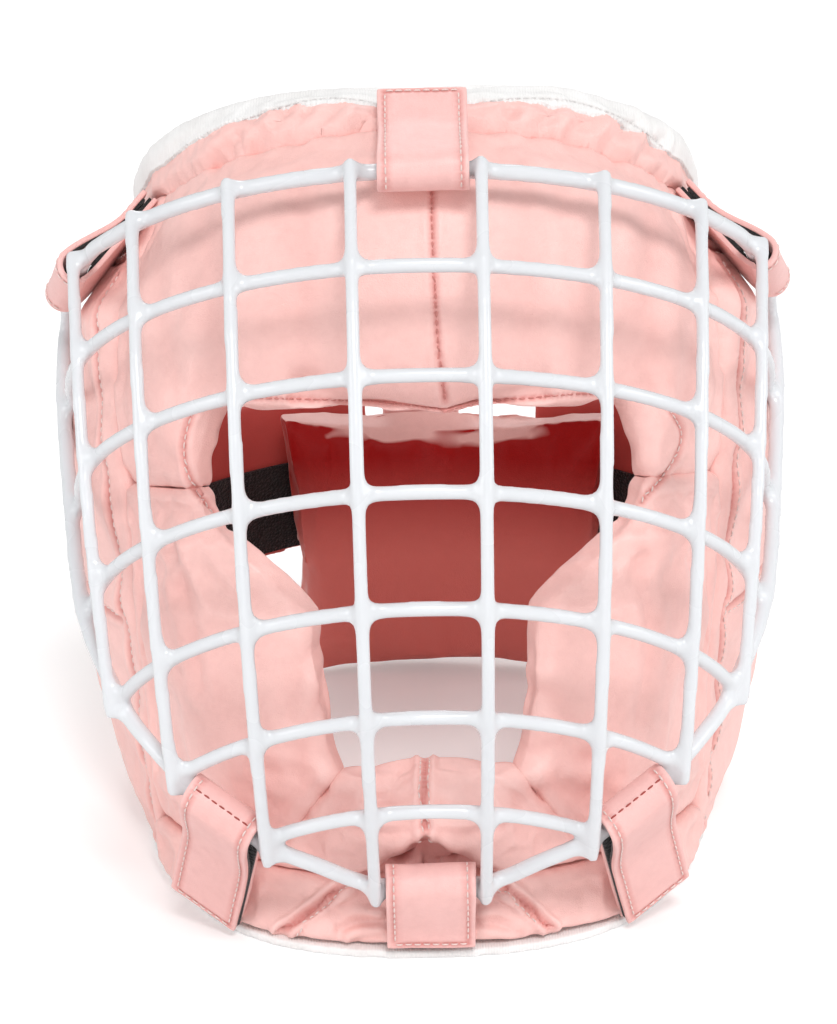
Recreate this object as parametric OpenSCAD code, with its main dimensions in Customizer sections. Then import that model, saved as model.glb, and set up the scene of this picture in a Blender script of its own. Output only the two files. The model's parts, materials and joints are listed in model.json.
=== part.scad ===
// Boxing headgear with a bar cage, standing on its neck rim with the face tilted up.
// Front faces -Y, +Z is up, X = 0 is the plane of symmetry. Left is -X, as seen from the front.

/* [Shell] */
// Width over the side pads at the ears
shell_w = 254; // [246:1:258]
// Width over the neck rim on the floor
neck_w = 220; // [210:1:226]
// Reach of the chin rim in front of the middle of the neck rim
chin_reach = 133; // [128:1:136]
// Reach of the rear panel behind the middle of the neck rim
nape_reach = 129; // [120:1:136]
// Height of the brow edge above the floor
brow_z = 187; // [180:1:194]
// Height of the top edge of the forehead pad above the floor
forehead_z = 274; // [266:1:280]

/* [Pads] */
// Thickness of the forehead, side and cheek pads
pad_t = 27; // [22:1:32]
// Thickness of the chin pad
chin_t = 26; // [22:1:30]
// Thickness of the rear panel
rear_t = 24; // [18:1:28]
// Thickness of the gathered crown band
crown_t = 15; // [12:1:20]
// Thickness of the leather that wraps the foam
leather_t = 1.8; // [1.4:0.1:2.4]
// Clearance between the leather and its foam core
core_gap = 0.35; // [0.2:0.05:0.5]
// Gap between two neighbouring pads at their seam
seam_gap = 0.9; // [0.7:0.1:1.4]
// Half of the angle that the forehead pad and the cheeks take round the head
temple_a = 62; // [58:1:66]
// Angle at which the side pads end behind the ears
ear_a = 127; // [120:1:130]
// Angle at which the rear panel starts
rear_a = 145.5; // [143:0.5:150]
// Angle by which the rear panel sits off the middle
rear_turn = 5.5; // [0:0.5:6]

/* [Cage] */
// Diameter of the uprights and cross wires with their coating
wire_d = 4.6; // [4:0.1:5.2]
// Diameter of the rim wire with its coating
rim_d = 5.6; // [5:0.1:6.2]
// Depth to which crossing wires are melted into each other
weld = 0.6; // [0.4:0.1:0.9]
// Space between the front of the chin and the cage in front of it
cage_gap = 26; // [22:1:30]
// Depth of the cage's top edge below the top of the forehead pad
cage_drop = 12.15; // [9:0.15:15]
// Angle between two cross wires along the bow
cross_a = 12.28; // [11.9:0.02:12.5]
// Radius of the top cross wire
top_ring_r = 126; // [124:1:129]
// Radius of the cross wire in front of the jaw
jaw_ring_r = 92; // [90:1:96]
// Spacing of the uprights at the top
top_bar_pitch = 41.8; // [40.8:0.1:42.6]
// Spacing of the uprights at the jaw
jaw_bar_pitch = 37.7; // [36.8:0.1:38.6]

/* [Straps] */
// Width of the six cage straps
strap_w = 30; // [26:1:32]
// Width of the two straps at the jaw, which lie between two uprights
jaw_strap_w = 27; // [24:1:28]
// Thickness of a strap
strap_t = 2; // [1.6:0.1:2.4]
// Thickness of a hook or loop tape
tape_t = 1.2; // [1:0.1:1.6]
// Margin of a tape from the edges of its strap
tape_margin = 3; // [2:0.5:5]
// Slack between a strap and the wire it wraps
wrap_gap = 2.2; // [1.8:0.1:2.6]
// Height of the two rear closure straps
rear_strap_w = 78; // [66:1:84]
// Height of the hook tape inside a rear closure strap
rear_tape_w = 44; // [36:1:50]
// Width of the strap over the crown
crown_strap_w = 30; // [26:1:36]

/* [Bindings] */
// Width of the binding tape under the neck rim
neck_tape_w = 12; // [10:1:14]
// Height of the binding tape under the neck rim
neck_tape_h = 4; // [3:0.5:5]
// Diameter of the bound edge round the crown opening
crown_tape_d = 9; // [7:0.5:10]

/* [Hidden] */

pink = [0.93, 0.62, 0.60];
white = [0.96, 0.96, 0.97];
black = [0.08, 0.08, 0.09];
foam = [0.85, 0.82, 0.74];

// The origin lies under the middle of the whole object, this far ahead of the neck rim's middle
rim_y = 15.6;

// Sections of the shell from the neck rim (0) to the crown (10). Each has its front, middle and
// back point in the plane X = 0, as [front y, front z, mid y, mid z, back y, back z, half width,
// squareness], where a squareness of 2 is an ellipse.
front_y = rim_y - chin_reach;
back_y = rim_y + nape_reach;
half_w = shell_w / 2;
sections = [
    [front_y, 0, rim_y, 0, back_y, 0, neck_w / 2, 2.35],
    [front_y + 4, 28, rim_y + 2, 18, back_y + 2, 22, neck_w / 2 + 4, 2.2],
    [front_y + 4, 60, rim_y + 4, 42, back_y + 2, 48, half_w - 9, 2],
    [front_y + 7, brow_z - 84, rim_y + 8, 72, back_y, 78, half_w - 6, 2],
    [front_y + 13, brow_z - 39, rim_y + 14, 104, back_y - 4, 104, half_w - 3, 2],
    [front_y + 32, brow_z, rim_y + 24, 136, back_y - 8, 128, half_w, 2],
    [front_y + 50, forehead_z - 38, rim_y + 36, 170, back_y - 12, 150, half_w - 6, 2],
    [front_y + 83, forehead_z, rim_y + 52, 203, back_y - 20, 176, half_w - 20, 2],
    [front_y + 119, forehead_z + 1, rim_y + 52, 233, back_y - 40, 206, half_w - 28, 2],
    [front_y + 156, forehead_z - 10, rim_y + 48, 245, back_y - 64, 232, half_w - 66, 2]];

// A row between two sections, on a smooth curve through all of them
function section(t) =
    let (last = len(sections) - 1,
         i = min(max(floor(t), 0), last - 1), k = t - i,
         a = sections[max(i - 1, 0)], b = sections[i],
         c = sections[i + 1], d = sections[min(i + 2, last)])
    0.5 * ((2 * b) + (c - a) * k + (2 * a - 5 * b + 4 * c - d) * k * k
           + (3 * b - a - 3 * c + d) * k * k * k);

function unit(v) = v / norm(v);

// Point of the shell's outer surface at angle a (0 is the front, 90 the right, 180 the back)
function shell_point(a, t) =
    let (s = section(t), m = [0, s[2], s[3]],
         reach = cos(a) >= 0 ? [0, s[0], s[1]] - m : m - [0, s[4], s[5]],
         square = pow(pow(abs(sin(a)), s[7]) + pow(abs(cos(a)), s[7]), -1 / s[7]))
    m + ([s[6] * sin(a), 0, 0] + reach * cos(a)) * square;

function shell_normal(a, t) =
    let (da = shell_point(a + 1, t) - shell_point(a - 1, t),
         dt = shell_point(a, t + 0.02) - shell_point(a, t - 0.02))
    unit(cross(da, dt));

// Angle on the shell that spans a length near its surface
function span_a(length) = length / half_w * 180 / PI;
// The same along a section's number, whose steps are about this far apart
section_step = 36;
function span_t(length) = length / section_step;

function smooth(lo, hi, x) = let (k = min(max((x - lo) / (hi - lo), 0), 1)) k * k * (3 - 2 * k);
function mix(a, b, k) = a + (b - a) * k;

// Sample places from 0 to 1, closer together at the ends where a pad rounds off
function spread(i, n) = (1 - cos(180 * i / (n - 1))) / 2;
function crowned(s) = 1 - pow(abs(2 * s - 1), 4);

// A pad covers angles a0..a1 and sections t0..t1. Its borders sink by lip from the outer face
// and rise by the same from the inner face. It stays above base, and shrink takes a length off
// it on every side.
// Each bound is a function of the place across the pad: a0, a1 of t, and t0, t1 of s.
function pad_point(side, i, j, nu, nv, a0, a1, t0, t1, thick, lip, base, shrink, swell) =
    let (s = spread(i, nu), v = spread(j, nv),
         ta = t0(s) + span_t(shrink), tb = t1(s) - span_t(shrink), t = mix(ta, tb, v),
         aa = a0(t) + span_a(shrink), ab = a1(t) - span_a(shrink), a = mix(aa, ab, s),
         e = crowned(s) * crowned(v),
         sink = shrink + lip * (1 - e),
         depth = side == 0 ? sink : thick - sink,
         p = shell_point(a, t) + shell_normal(a, t) * (swell(s, v) * e - depth))
    [p[0], p[1], max(p[2], base + shrink)];

module pad(nu, nv, a0, a1, t0, t1, thick, lip, base = 0, shrink = 0, swell = function(s, v) 0) {
    n = nu * nv;
    points = [for (side = [0, 1], j = [0:nv - 1], i = [0:nu - 1])
        pad_point(side, i, j, nu, nv, a0, a1, t0, t1, thick, lip, base, shrink, swell)];
    at = function(side, i, j) side * n + j * nu + i;
    quads = concat(
        [for (j = [0:nv - 2], i = [0:nu - 2]) [at(0, i, j), at(0, i, j + 1), at(0, i + 1, j + 1), at(0, i + 1, j)]],
        [for (j = [0:nv - 2], i = [0:nu - 2]) [at(1, i, j), at(1, i + 1, j), at(1, i + 1, j + 1), at(1, i, j + 1)]],
        [for (i = [0:nu - 2]) [at(0, i, 0), at(0, i + 1, 0), at(1, i + 1, 0), at(1, i, 0)]],
        [for (i = [0:nu - 2]) [at(0, i, nv - 1), at(1, i, nv - 1), at(1, i + 1, nv - 1), at(0, i + 1, nv - 1)]],
        [for (j = [0:nv - 2]) [at(0, 0, j), at(1, 0, j), at(1, 0, j + 1), at(0, 0, j + 1)]],
        [for (j = [0:nv - 2]) [at(0, nu - 1, j), at(0, nu - 1, j + 1), at(1, nu - 1, j + 1), at(1, nu - 1, j)]]);
    polyhedron(points, [for (q = quads, f = [[q[0], q[1], q[2]], [q[0], q[2], q[3]]]) f]);
}

// A tube along a list of points, whose cross sections keep facing one way
module tube(path, d, facing, sides = 8, closed = false) {
    n = len(path);
    last = n - 1;
    points = [for (i = [0:last])
        let (along = unit(closed ? path[(i + 1) % n] - path[(i + last) % n]
                                 : path[min(i + 1, last)] - path[max(i - 1, 0)]),
             u = unit(cross(along, facing)), v = cross(u, along))
        for (k = [0:sides - 1]) let (a = 360 * (k + 0.5) / sides)
            path[i] + (u * cos(a) + v * sin(a)) * d / 2];
    walls = [for (i = [0:closed ? last : last - 1], k = [0:sides - 1])
        let (j = (i + 1) % n, m = (k + 1) % sides)
        each [[i * sides + k, i * sides + m, j * sides + m], [i * sides + k, j * sides + m, j * sides + k]]];
    ends = closed ? [] : [
        for (k = [1:sides - 2]) [0, k + 1, k],
        for (k = [1:sides - 2]) [last * sides, last * sides + k, last * sides + k + 1]];
    polyhedron(points, concat(walls, ends));
}
function curve(points, steps) =
    let (last = len(points) - 1)
    concat([for (i = [0:last - 1], j = [0:steps - 1])
        let (k = j / steps, a = points[max(i - 1, 0)], b = points[i],
             c = points[i + 1], d = points[min(i + 2, last)])
        0.5 * ((2 * b) + (c - a) * k + (2 * a - 5 * b + 4 * c - d) * k * k
               + (3 * b - a - 3 * c + d) * k * k * k)], [points[last]]);

// Cage surface: k counts the cross wires down the bow from 0 at the top to 7 at the chin,
// n counts uprights out from the middle, so uprights lie at 0.5, 1.5, 2.5 and 3.5.
bow_top_a = 57;
bow_mid_z = 0.42 * forehead_z;
bow_r = (forehead_z - cage_drop - bow_mid_z) / sin(bow_top_a);
bow_centre = [front_y - cage_gap + bow_r, bow_mid_z];
top_tilt = 37.5;
jaw_tilt = 53;
jaw_k = 6;
cross_pitch = bow_r * cross_a * PI / 180;
function bow_a(k) = bow_top_a - k * cross_a;
function ring_tilt(k) = mix(top_tilt, jaw_tilt, pow(k / jaw_k, 2));
function ring_r(k) = let (t = k / jaw_k) mix(top_ring_r, jaw_ring_r, 0.4 * t + 0.6 * t * t);
function bar_a(k, n) = n * mix(top_bar_pitch, jaw_bar_pitch, k / jaw_k) / ring_r(k) * 180 / PI;
function ring_centre(k) =
    [0, bow_centre[0] - bow_r * cos(bow_a(k)), bow_centre[1] + bow_r * sin(bow_a(k))]
    + ring_r(k) * [0, cos(ring_tilt(k)), -sin(ring_tilt(k))];
function cage_point(k, n) =
    ring_centre(k) + ring_r(k) * [sin(bar_a(k, n)),
        -cos(bar_a(k, n)) * cos(ring_tilt(k)), cos(bar_a(k, n)) * sin(ring_tilt(k))];
function cage_normal(k, n) =
    unit(cross(cage_point(k, n + 0.02) - cage_point(k, n - 0.02),
               cage_point(k - 0.02, n) - cage_point(k + 0.02, n)));
function cage_out(k, n, out) = cage_point(k, n) + cage_normal(k, n) * out;

// Where each upright ends on the lower rim, from the middle outwards
rim_ends = [6.94, 6.1, 5.03, 4.03];
// Where the last upright, which is the rim itself, crosses the cross wires 1 to 4
edge_n = [4.95, 4.9, 4.75, 4.25];
bar_lift = (wire_d + rim_d) / 2 - weld;
stub = 4;

// The rim wire on the right: out along the top, down the side and in along the jaw to the chin
corner_r = 0.32;
rim_half = concat(
    [for (n = [0:0.5:3.5]) cage_point(0, n)],
    [cage_out(0, edge_n[0] - corner_r, 0), cage_out(0.1, edge_n[0] - 0.06, bar_lift * 0.3),
     cage_out(corner_r, edge_n[0], bar_lift * 0.7)],
    [for (k = [1:3]) cage_out(k, edge_n[k], bar_lift)],
    [cage_out(rim_ends[3] - 0.35, 3.72, bar_lift * 0.5), cage_point(rim_ends[3] + 0.12, 3.42)],
    [for (i = [0:2]) let (i1 = 3 - i, i2 = 2 - i) each [
        if (i > 0) cage_point(rim_ends[i1], i1 + 0.5),
        cage_point(mix(rim_ends[i1], rim_ends[i2], 0.5), i1)]],
    [cage_point(rim_ends[0], 0.5), cage_point(rim_ends[0] + 0.03, 0)]);
function mirrored(path) = [for (i = [len(path) - 1:-1:0]) [-path[i][0], path[i][1], path[i][2]]];
function inner_points(path) = [for (i = [1:len(path) - 2]) path[i]];
rim_run = curve(rim_half, 2);
rim_path = concat(rim_run, inner_points(mirrored(rim_run)));

module cage_rim_wire() {
    color(white) tube(rim_path, rim_d, [0, 1, 0], closed = true);
}
module cage_upright(i) {
    n = i - 4.5;
    last = rim_ends[floor(abs(n))];
    lift = wire_d - weld;
    ks = concat([-stub / cross_pitch / 3, 0], [for (k = [0.5:0.5:last - 0.2]) k],
                [last, last + stub / cross_pitch]);
    color(white) tube([for (k = ks) cage_out(k, n, k < 0.3 || k > last - 0.3 ? bar_lift : lift)], wire_d, [1, 0, 0]);
}
module cage_cross_wire(i) {
    k = i - 1;
    ends = [0, edge_n[1] + 0.05, edge_n[2] + 0.05, edge_n[3] + 0.06, 3.46, 2.46, 1.42];
    a = bar_a(k, ends[k]);
    color(white) translate(ring_centre(k)) rotate([-ring_tilt(k), 0, 0]) rotate([0, 0, -90 - a])
        rotate_extrude(angle = 2 * a, $fn = 64) translate([ring_r(k), 0]) circle(d = wire_d, $fn = 24);
}

// Pads: borders of each pad in angle and section
sg = span_a(seam_gap / 2);
st = span_t(seam_gap / 2);
brow_s = 5.05;
eye_low_s = 4.45;
top_s = 7;
crown_s = 7.95;
// Top of the gathered crown bands, inside their binding
band_top_s = crown_s - span_t(crown_tape_d - 5.5);
low_chin_s = 0.95;
rear_top_s = 4.38;
chin_top_s = 2.0;
// Pads over the neck binding end just above it
rim_level = neck_tape_h + 0.1;
eye_a = 40.5;
// Lower edge of the forehead pad: straight over the eyes, lower at their outer corners
function brow_edge(a) = brow_s - (brow_s - eye_low_s) * smooth(eye_a - 3, eye_a + 1.5, abs(a));
// Edge of the face opening on the cheek, by section
function face_edge(t) = t < chin_top_s ? mix(17, 32, (chin_top_s - t) / (chin_top_s - low_chin_s))
    : lookup(t, [[chin_top_s, 17], [2.5, 19], [3.05, 16], [3.5, 21], [3.85, 31], [4.2, eye_a], [5, eye_a]]);

module forehead_pad(shrink) {
    pad(21, 8, function(t) -temple_a + sg, function(t) temple_a - sg,
        function(s) brow_edge(mix(-temple_a, temple_a, s)) + st, function(s) top_s - st,
        pad_t, 8, shrink = shrink);
}
module cheek_pad(shrink) {
    pad(8, 9, function(t) face_edge(t) + sg, function(t) temple_a - sg,
        function(s) low_chin_s + st, function(s) eye_low_s - st, pad_t, 8, shrink = shrink);
}
module chin_pad(shrink) {
    pad(11, 6, function(t) -face_edge(min(t, chin_top_s)) + sg, function(t) face_edge(min(t, chin_top_s)) - sg,
        function(s) low_chin_s + st, function(s) chin_top_s + 0.12 * crowned(s), chin_t, 7, shrink = shrink);
}
module side_pad(shrink) {
    pad(8, 9, function(t) temple_a + sg, function(t) ear_a,
        function(s) 0, function(s) top_s - st, pad_t, 8, rim_level, shrink);
}
module rear_pad(shrink) {
    pad(9, 7, function(t) rear_a - rear_turn, function(t) 360 - rear_a - rear_turn,
        function(s) 0, function(s) rear_top_s, rear_t, 6, shrink = shrink);
}
module lower_chin_pad() {
    pad(9, 5, function(t) sg, function(t) temple_a - sg,
        function(s) 0, function(s) low_chin_s - st, chin_t - 4, 5, rim_level);
}
module crown_pad() {
    pad(10, 5, function(t) sg, function(t) ear_a - 14, function(s) top_s + st, function(s) band_top_s, crown_t, 4,
        swell = function(s, v) 3 * sin(360 * s));
}
module wrapped(c) {
    color(c) difference() { children(0); children(1); }
}
module forehead_cover() { wrapped(pink) { forehead_pad(0); forehead_pad(leather_t); } }
module forehead_foam() { color(foam) forehead_pad(leather_t + core_gap); }
module cheek_cover() { wrapped(pink) { cheek_pad(0); cheek_pad(leather_t); } }
module cheek_foam() { color(foam) cheek_pad(leather_t + core_gap); }
module chin_cover() { wrapped(pink) { chin_pad(0); chin_pad(leather_t); } }
module chin_foam() { color(foam) chin_pad(leather_t + core_gap); }
module side_cover() { wrapped(pink) { side_pad(0); side_pad(leather_t); } }
module side_foam() { color(foam) side_pad(leather_t + core_gap); }
module rear_cover() { wrapped(pink) { rear_pad(0); rear_pad(leather_t); } }
module rear_foam() { color(foam) rear_pad(leather_t + core_gap); }
module lower_chin_panel() { color(pink) lower_chin_pad(); }
module crown_band() { color(pink) crown_pad(); }

// Binding round the edge of the crown opening, which rises over the two crown bands
crown_edge_a = ear_a - 14;
function crown_edge(a) =
    let (s = min(abs(a) / crown_edge_a, 1))
    shell_point(a, crown_s - span_t(crown_tape_d / 2 - 3)) - shell_normal(a, crown_s) * (crown_t * 0.42 - 3 * sin(360 * s) * 0.7);
module crown_binding() {
    color(white) tube([for (a = [-crown_edge_a:crown_edge_a / 18:crown_edge_a + 0.01]) crown_edge(a)], crown_tape_d, [0, -0.5, 1]);
}
// Binding under the neck rim from ear to ear, in line with the chin panels in front and further
// in under the side pads
function neck_inset(a) = neck_tape_w / 2 + mix(1, 7, smooth(25, temple_a, abs(a)));
module neck_binding() {
    rows = [for (a = [-ear_a:ear_a / 18:ear_a + 0.01])
        let (p = shell_point(a, 0), out = unit([shell_normal(a, 0)[0], shell_normal(a, 0)[1]]))
        [[p[0], p[1]] - out * neck_inset(a), out * neck_tape_w / 2]];
    color(white) linear_extrude(neck_tape_h)
        polygon(concat([for (r = rows) r[0] + r[1]],
                       [for (i = [len(rows) - 1:-1:0]) rows[i][0] - rows[i][1]]));
}

// A cage strap in its own frame: the wire runs along x through the origin, the strap goes to +y,
// and +z is away from the head.
wrap_r = rim_d / 2 + wrap_gap;
tape_level = -wrap_r + 2 * tape_t + 0.3;
drop_y = 14;
module strap_profile(points, w) {
    rotate([90, 0, 90]) translate([0, 0, -w / 2]) linear_extrude(w) polygon(points);
}
module strap_loop(length, w = strap_w) {
    color(pink) {
        rotate([0, 90, 0]) translate([0, 0, -w / 2]) rotate([0, 0, -180])
            rotate_extrude(angle = 180, $fn = 48) translate([wrap_r, 0]) square([strap_t, w]);
        strap_profile([[0, -wrap_r - strap_t], [length, -wrap_r - strap_t], [length, -wrap_r], [0, -wrap_r]], w);
    }
}
hinge_y = strap_t / 2 + 0.3;
hinge_z = wrap_r + strap_t / 2;
// The flap turns about the middle of its rounded end
module strap_flap(length, w = strap_w) {
    color(pink) strap_profile(concat(
        [[drop_y, tape_level], [length, tape_level], [length, tape_level + strap_t],
         [drop_y + 0.4, tape_level + strap_t]],
        [for (a = [90:15:270]) [hinge_y + cos(a) * strap_t / 2, hinge_z + sin(a) * strap_t / 2]]), w);
}
module tape(length, level, w) {
    translate([-w / 2 + tape_margin, drop_y + 1, level])
        cube([w - 2 * tape_margin, length - drop_y - 1 - tape_margin, tape_t]);
}
module strap_hook(length, w = strap_w) {
    color(black) tape(length, tape_level - tape_t, w);
}
module strap_loop_tape(length, w = strap_w) {
    color(black) tape(length, -wrap_r, w);
}

head_middle = [0, rim_y + 20, 110];
// Frame of a strap that wraps the rim wire at w, whose direction there is t, and runs along a
// direction down to the pads. Lean turns it about its face, off the wire and square to its run.
function strap_frame(w, t, along, lean = 0) =
    let (square = t - along * (t * along), x = unit(mix(unit(t), unit(square), lean)),
         y = unit(along - x * (along * x)), z = cross(x, y),
         flip = z * (w - head_middle) < 0 ? -1 : 1)
    [x * flip, y, z * flip, w];
function skewed(f, k) = [f[0], f[1] + f[0] * k, f[2], f[3]];
module on_strap(f) {
    multmatrix([[f[0][0], f[1][0], f[2][0], f[3][0]],
                [f[0][1], f[1][1], f[2][1], f[3][1]],
                [f[0][2], f[1][2], f[2][2], f[3][2]]]) children();
}
// Each strap runs so far in towards the head that its root rests on the pads
top_frame = strap_frame(cage_point(0, 0.06), [1, 0, 0], [0, 0.891, 0.455]);
chin_frame = strap_frame(cage_point(rim_ends[0] + 0.03, 0), [1, 0, 0], [0, 0.09, -0.996]);
jaw_wire = cage_point(mix(rim_ends[2], rim_ends[1], 0.5), 2);
// The jaw straps hang askew, so that they run down to the chin
jaw_skew = 0.15;
jaw_frame = skewed(strap_frame(jaw_wire, cage_point(rim_ends[1], 1.5) - cage_point(rim_ends[2], 2.5),
                               unit([0.271, 0.5, -0.822]), 0.6), jaw_skew);
temple_wire = cage_point(0, 4);
temple_frame = strap_frame(temple_wire, cage_point(0, 4.1) - cage_point(0, 3.9), unit([-0.585, 0.6, 0.545]));
top_len = 42;
chin_len = 26.6;
jaw_len = 57;
temple_len = 38;

module top_strap_loop() { on_strap(top_frame) strap_loop(top_len); }
module top_strap_flap() { on_strap(top_frame) strap_flap(top_len); }
module top_hook_tape() { on_strap(top_frame) strap_hook(top_len); }
module chin_strap_loop() { on_strap(chin_frame) strap_loop(chin_len); }
module chin_strap_flap() { on_strap(chin_frame) strap_flap(chin_len); }
module chin_hook_tape() { on_strap(chin_frame) strap_hook(chin_len); }
module jaw_strap_loop() { on_strap(jaw_frame) strap_loop(jaw_len, jaw_strap_w); }
module jaw_strap_flap() { on_strap(jaw_frame) strap_flap(jaw_len, jaw_strap_w); }
module jaw_hook_tape() { on_strap(jaw_frame) strap_hook(jaw_len, jaw_strap_w); }
module temple_strap_loop() { on_strap(temple_frame) strap_loop(temple_len); }
module temple_strap_flap() { on_strap(temple_frame) strap_flap(temple_len); }
module temple_hook_tape() { on_strap(temple_frame) strap_hook(temple_len); }
module strap_loop_tapes() {
    on_strap(top_frame) strap_loop_tape(top_len);
    on_strap(chin_frame) strap_loop_tape(chin_len);
    both() on_strap(jaw_frame) strap_loop_tape(jaw_len, jaw_strap_w);
    both() on_strap(temple_frame) strap_loop_tape(temple_len);
}

// Rear closure straps, which lie on the outside of the side pad and the rear panel
rear_strap_mid = 3.2;
rear_tape_mid = 2.8;
rear_gap = 0.3;
rear_root_a = ear_a - 23;
rear_strap_end_a = rear_a + 19;
module rear_strap(turn) {
    color(pink) band(rear_root_a, rear_strap_end_a + turn, rear_strap_mid, rear_strap_w / 2,
        function(s) rear_gap + (tape_t + 0.3) * smooth(0.2, 0.45, s), strap_t);
}
module rear_hook_tape(turn) {
    color(black) band(ear_a + 9, rear_strap_end_a + turn - 2, rear_tape_mid, rear_tape_w / 2,
        function(s) rear_gap, tape_t);
}
// A curved strip at a distance outside the shell
module band(a0, a1, mid, half, out, thick) {
    n = 13;
    m = 6;
    rows = [for (j = [0:m - 1], i = [0:n - 1])
        let (a = mix(a0, a1, i / (n - 1)), t = mid + span_t(mix(-half, half, j / (m - 1))))
        [shell_point(a, t), shell_normal(a, t), out(i / (n - 1))]];
    points = concat([for (r = rows) r[0] + r[1] * r[2]], [for (r = rows) r[0] + r[1] * (r[2] + thick)]);
    at = function(side, i, j) side * n * m + j * n + i;
    quads = concat(
        [for (j = [0:m - 2], i = [0:n - 2]) [at(1, i, j), at(1, i, j + 1), at(1, i + 1, j + 1), at(1, i + 1, j)]],
        [for (j = [0:m - 2], i = [0:n - 2]) [at(0, i, j), at(0, i + 1, j), at(0, i + 1, j + 1), at(0, i, j + 1)]],
        [for (i = [0:n - 2]) [at(1, i, 0), at(1, i + 1, 0), at(0, i + 1, 0), at(0, i, 0)]],
        [for (i = [0:n - 2]) [at(1, i, m - 1), at(0, i, m - 1), at(0, i + 1, m - 1), at(1, i + 1, m - 1)]],
        [for (j = [0:m - 2]) [at(1, 0, j), at(0, 0, j), at(0, 0, j + 1), at(1, 0, j + 1)]],
        [for (j = [0:m - 2]) [at(1, n - 1, j), at(1, n - 1, j + 1), at(0, n - 1, j + 1), at(0, n - 1, j)]]);
    polyhedron(points, [for (q = quads, f = [[q[0], q[1], q[2]], [q[0], q[2], q[3]]]) f]);
}
// Strap over the open crown, from the front edge back to the outside of the rear panel
crown_route = [[rim_y - 14, forehead_z - 9], [rim_y + 8, forehead_z - 12], [rim_y + 44, forehead_z - 27],
               [rim_y + 84, forehead_z - 58], [back_y - 15, 172], [back_y - 4, 134],
               [back_y - 1.4, 108], [back_y - 0.2, 78]];
crown_strap_t = 3;
module crown_strap() {
    path = curve(crown_route, 4);
    last = len(path) - 1;
    side = [for (i = [0:last]) let (d = unit(path[min(i + 1, last)] - path[max(i - 1, 0)])) [-d[1], d[0]]];
    color(pink) rotate([90, 0, 90]) translate([0, 0, -crown_strap_w / 2]) linear_extrude(crown_strap_w)
        polygon(concat([for (i = [0:last]) path[i] + side[i] * crown_strap_t / 2],
                       [for (i = [last:-1:0]) path[i] - side[i] * crown_strap_t / 2]));
}

module both() {
    children();
    mirror([1, 0, 0]) children();
}
module left() {
    mirror([1, 0, 0]) children();
}

cage_rim_wire();
for (i = [1:8]) cage_upright(i);
for (i = [2:7]) cage_cross_wire(i);
forehead_cover();
forehead_foam();
left() cheek_cover();  // cheek_cover_left
cheek_cover();  // cheek_cover_right
left() cheek_foam();  // cheek_foam_left
cheek_foam();  // cheek_foam_right
chin_cover();
chin_foam();
left() lower_chin_panel();  // lower_chin_panel_left
lower_chin_panel();  // lower_chin_panel_right
left() side_cover();  // side_cover_left
side_cover();  // side_cover_right
left() side_foam();  // side_foam_left
side_foam();  // side_foam_right
rear_cover();
rear_foam();
left() crown_band();  // crown_band_left
crown_band();  // crown_band_right
crown_binding();
neck_binding();
crown_strap();
top_strap_loop();
top_strap_flap();
top_hook_tape();
chin_strap_loop();
chin_strap_flap();
chin_hook_tape();
left() jaw_strap_loop();  // jaw_strap_loop_left
left() jaw_strap_flap();  // jaw_strap_flap_left
left() jaw_hook_tape();  // jaw_hook_tape_left
jaw_strap_loop();  // jaw_strap_loop_right
jaw_strap_flap();  // jaw_strap_flap_right
jaw_hook_tape();  // jaw_hook_tape_right
left() temple_strap_loop();  // temple_strap_loop_left
left() temple_strap_flap();  // temple_strap_flap_left
left() temple_hook_tape();  // temple_hook_tape_left
temple_strap_loop();  // temple_strap_loop_right
temple_strap_flap();  // temple_strap_flap_right
temple_hook_tape();  // temple_hook_tape_right
strap_loop_tapes();
left() rear_strap(rear_turn);  // rear_strap_left
rear_strap(-rear_turn);  // rear_strap_right
left() rear_hook_tape(rear_turn);  // rear_hook_tape_left
rear_hook_tape(-rear_turn);  // rear_hook_tape_right
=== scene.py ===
import json
import math

import bpy
import numpy as np
from mathutils import Matrix, Vector, noise
from mathutils.bvhtree import BVHTree
from mathutils.kdtree import KDTree

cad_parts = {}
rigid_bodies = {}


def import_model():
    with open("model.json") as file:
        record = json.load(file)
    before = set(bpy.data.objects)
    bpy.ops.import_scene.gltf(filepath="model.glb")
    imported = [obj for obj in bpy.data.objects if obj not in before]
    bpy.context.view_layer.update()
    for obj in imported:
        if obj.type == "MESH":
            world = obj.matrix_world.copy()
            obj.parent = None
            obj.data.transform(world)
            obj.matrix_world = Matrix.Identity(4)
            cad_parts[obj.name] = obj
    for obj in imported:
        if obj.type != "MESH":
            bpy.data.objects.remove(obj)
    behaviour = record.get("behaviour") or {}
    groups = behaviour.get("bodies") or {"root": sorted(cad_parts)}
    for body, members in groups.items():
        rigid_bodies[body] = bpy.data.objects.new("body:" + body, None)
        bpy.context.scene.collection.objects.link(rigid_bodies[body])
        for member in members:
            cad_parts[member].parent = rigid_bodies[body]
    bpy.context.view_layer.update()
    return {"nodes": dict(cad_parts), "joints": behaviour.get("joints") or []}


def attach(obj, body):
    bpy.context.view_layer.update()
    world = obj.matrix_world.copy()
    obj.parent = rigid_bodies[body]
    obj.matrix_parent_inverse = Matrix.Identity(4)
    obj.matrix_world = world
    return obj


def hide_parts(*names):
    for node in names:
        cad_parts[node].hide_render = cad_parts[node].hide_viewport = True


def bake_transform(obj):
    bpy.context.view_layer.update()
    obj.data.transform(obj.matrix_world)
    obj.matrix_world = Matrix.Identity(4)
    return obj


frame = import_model()
cadNodes = frame["nodes"]
hinges = {j["name"]: j for j in frame["joints"]}
mm = 0.001
scene = bpy.context.scene
noise.seed_set(5)  # the straps waver alike on every run
print("frame loaded:", len(cadNodes), "nodes")


# Camera at the photograph's place

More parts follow.
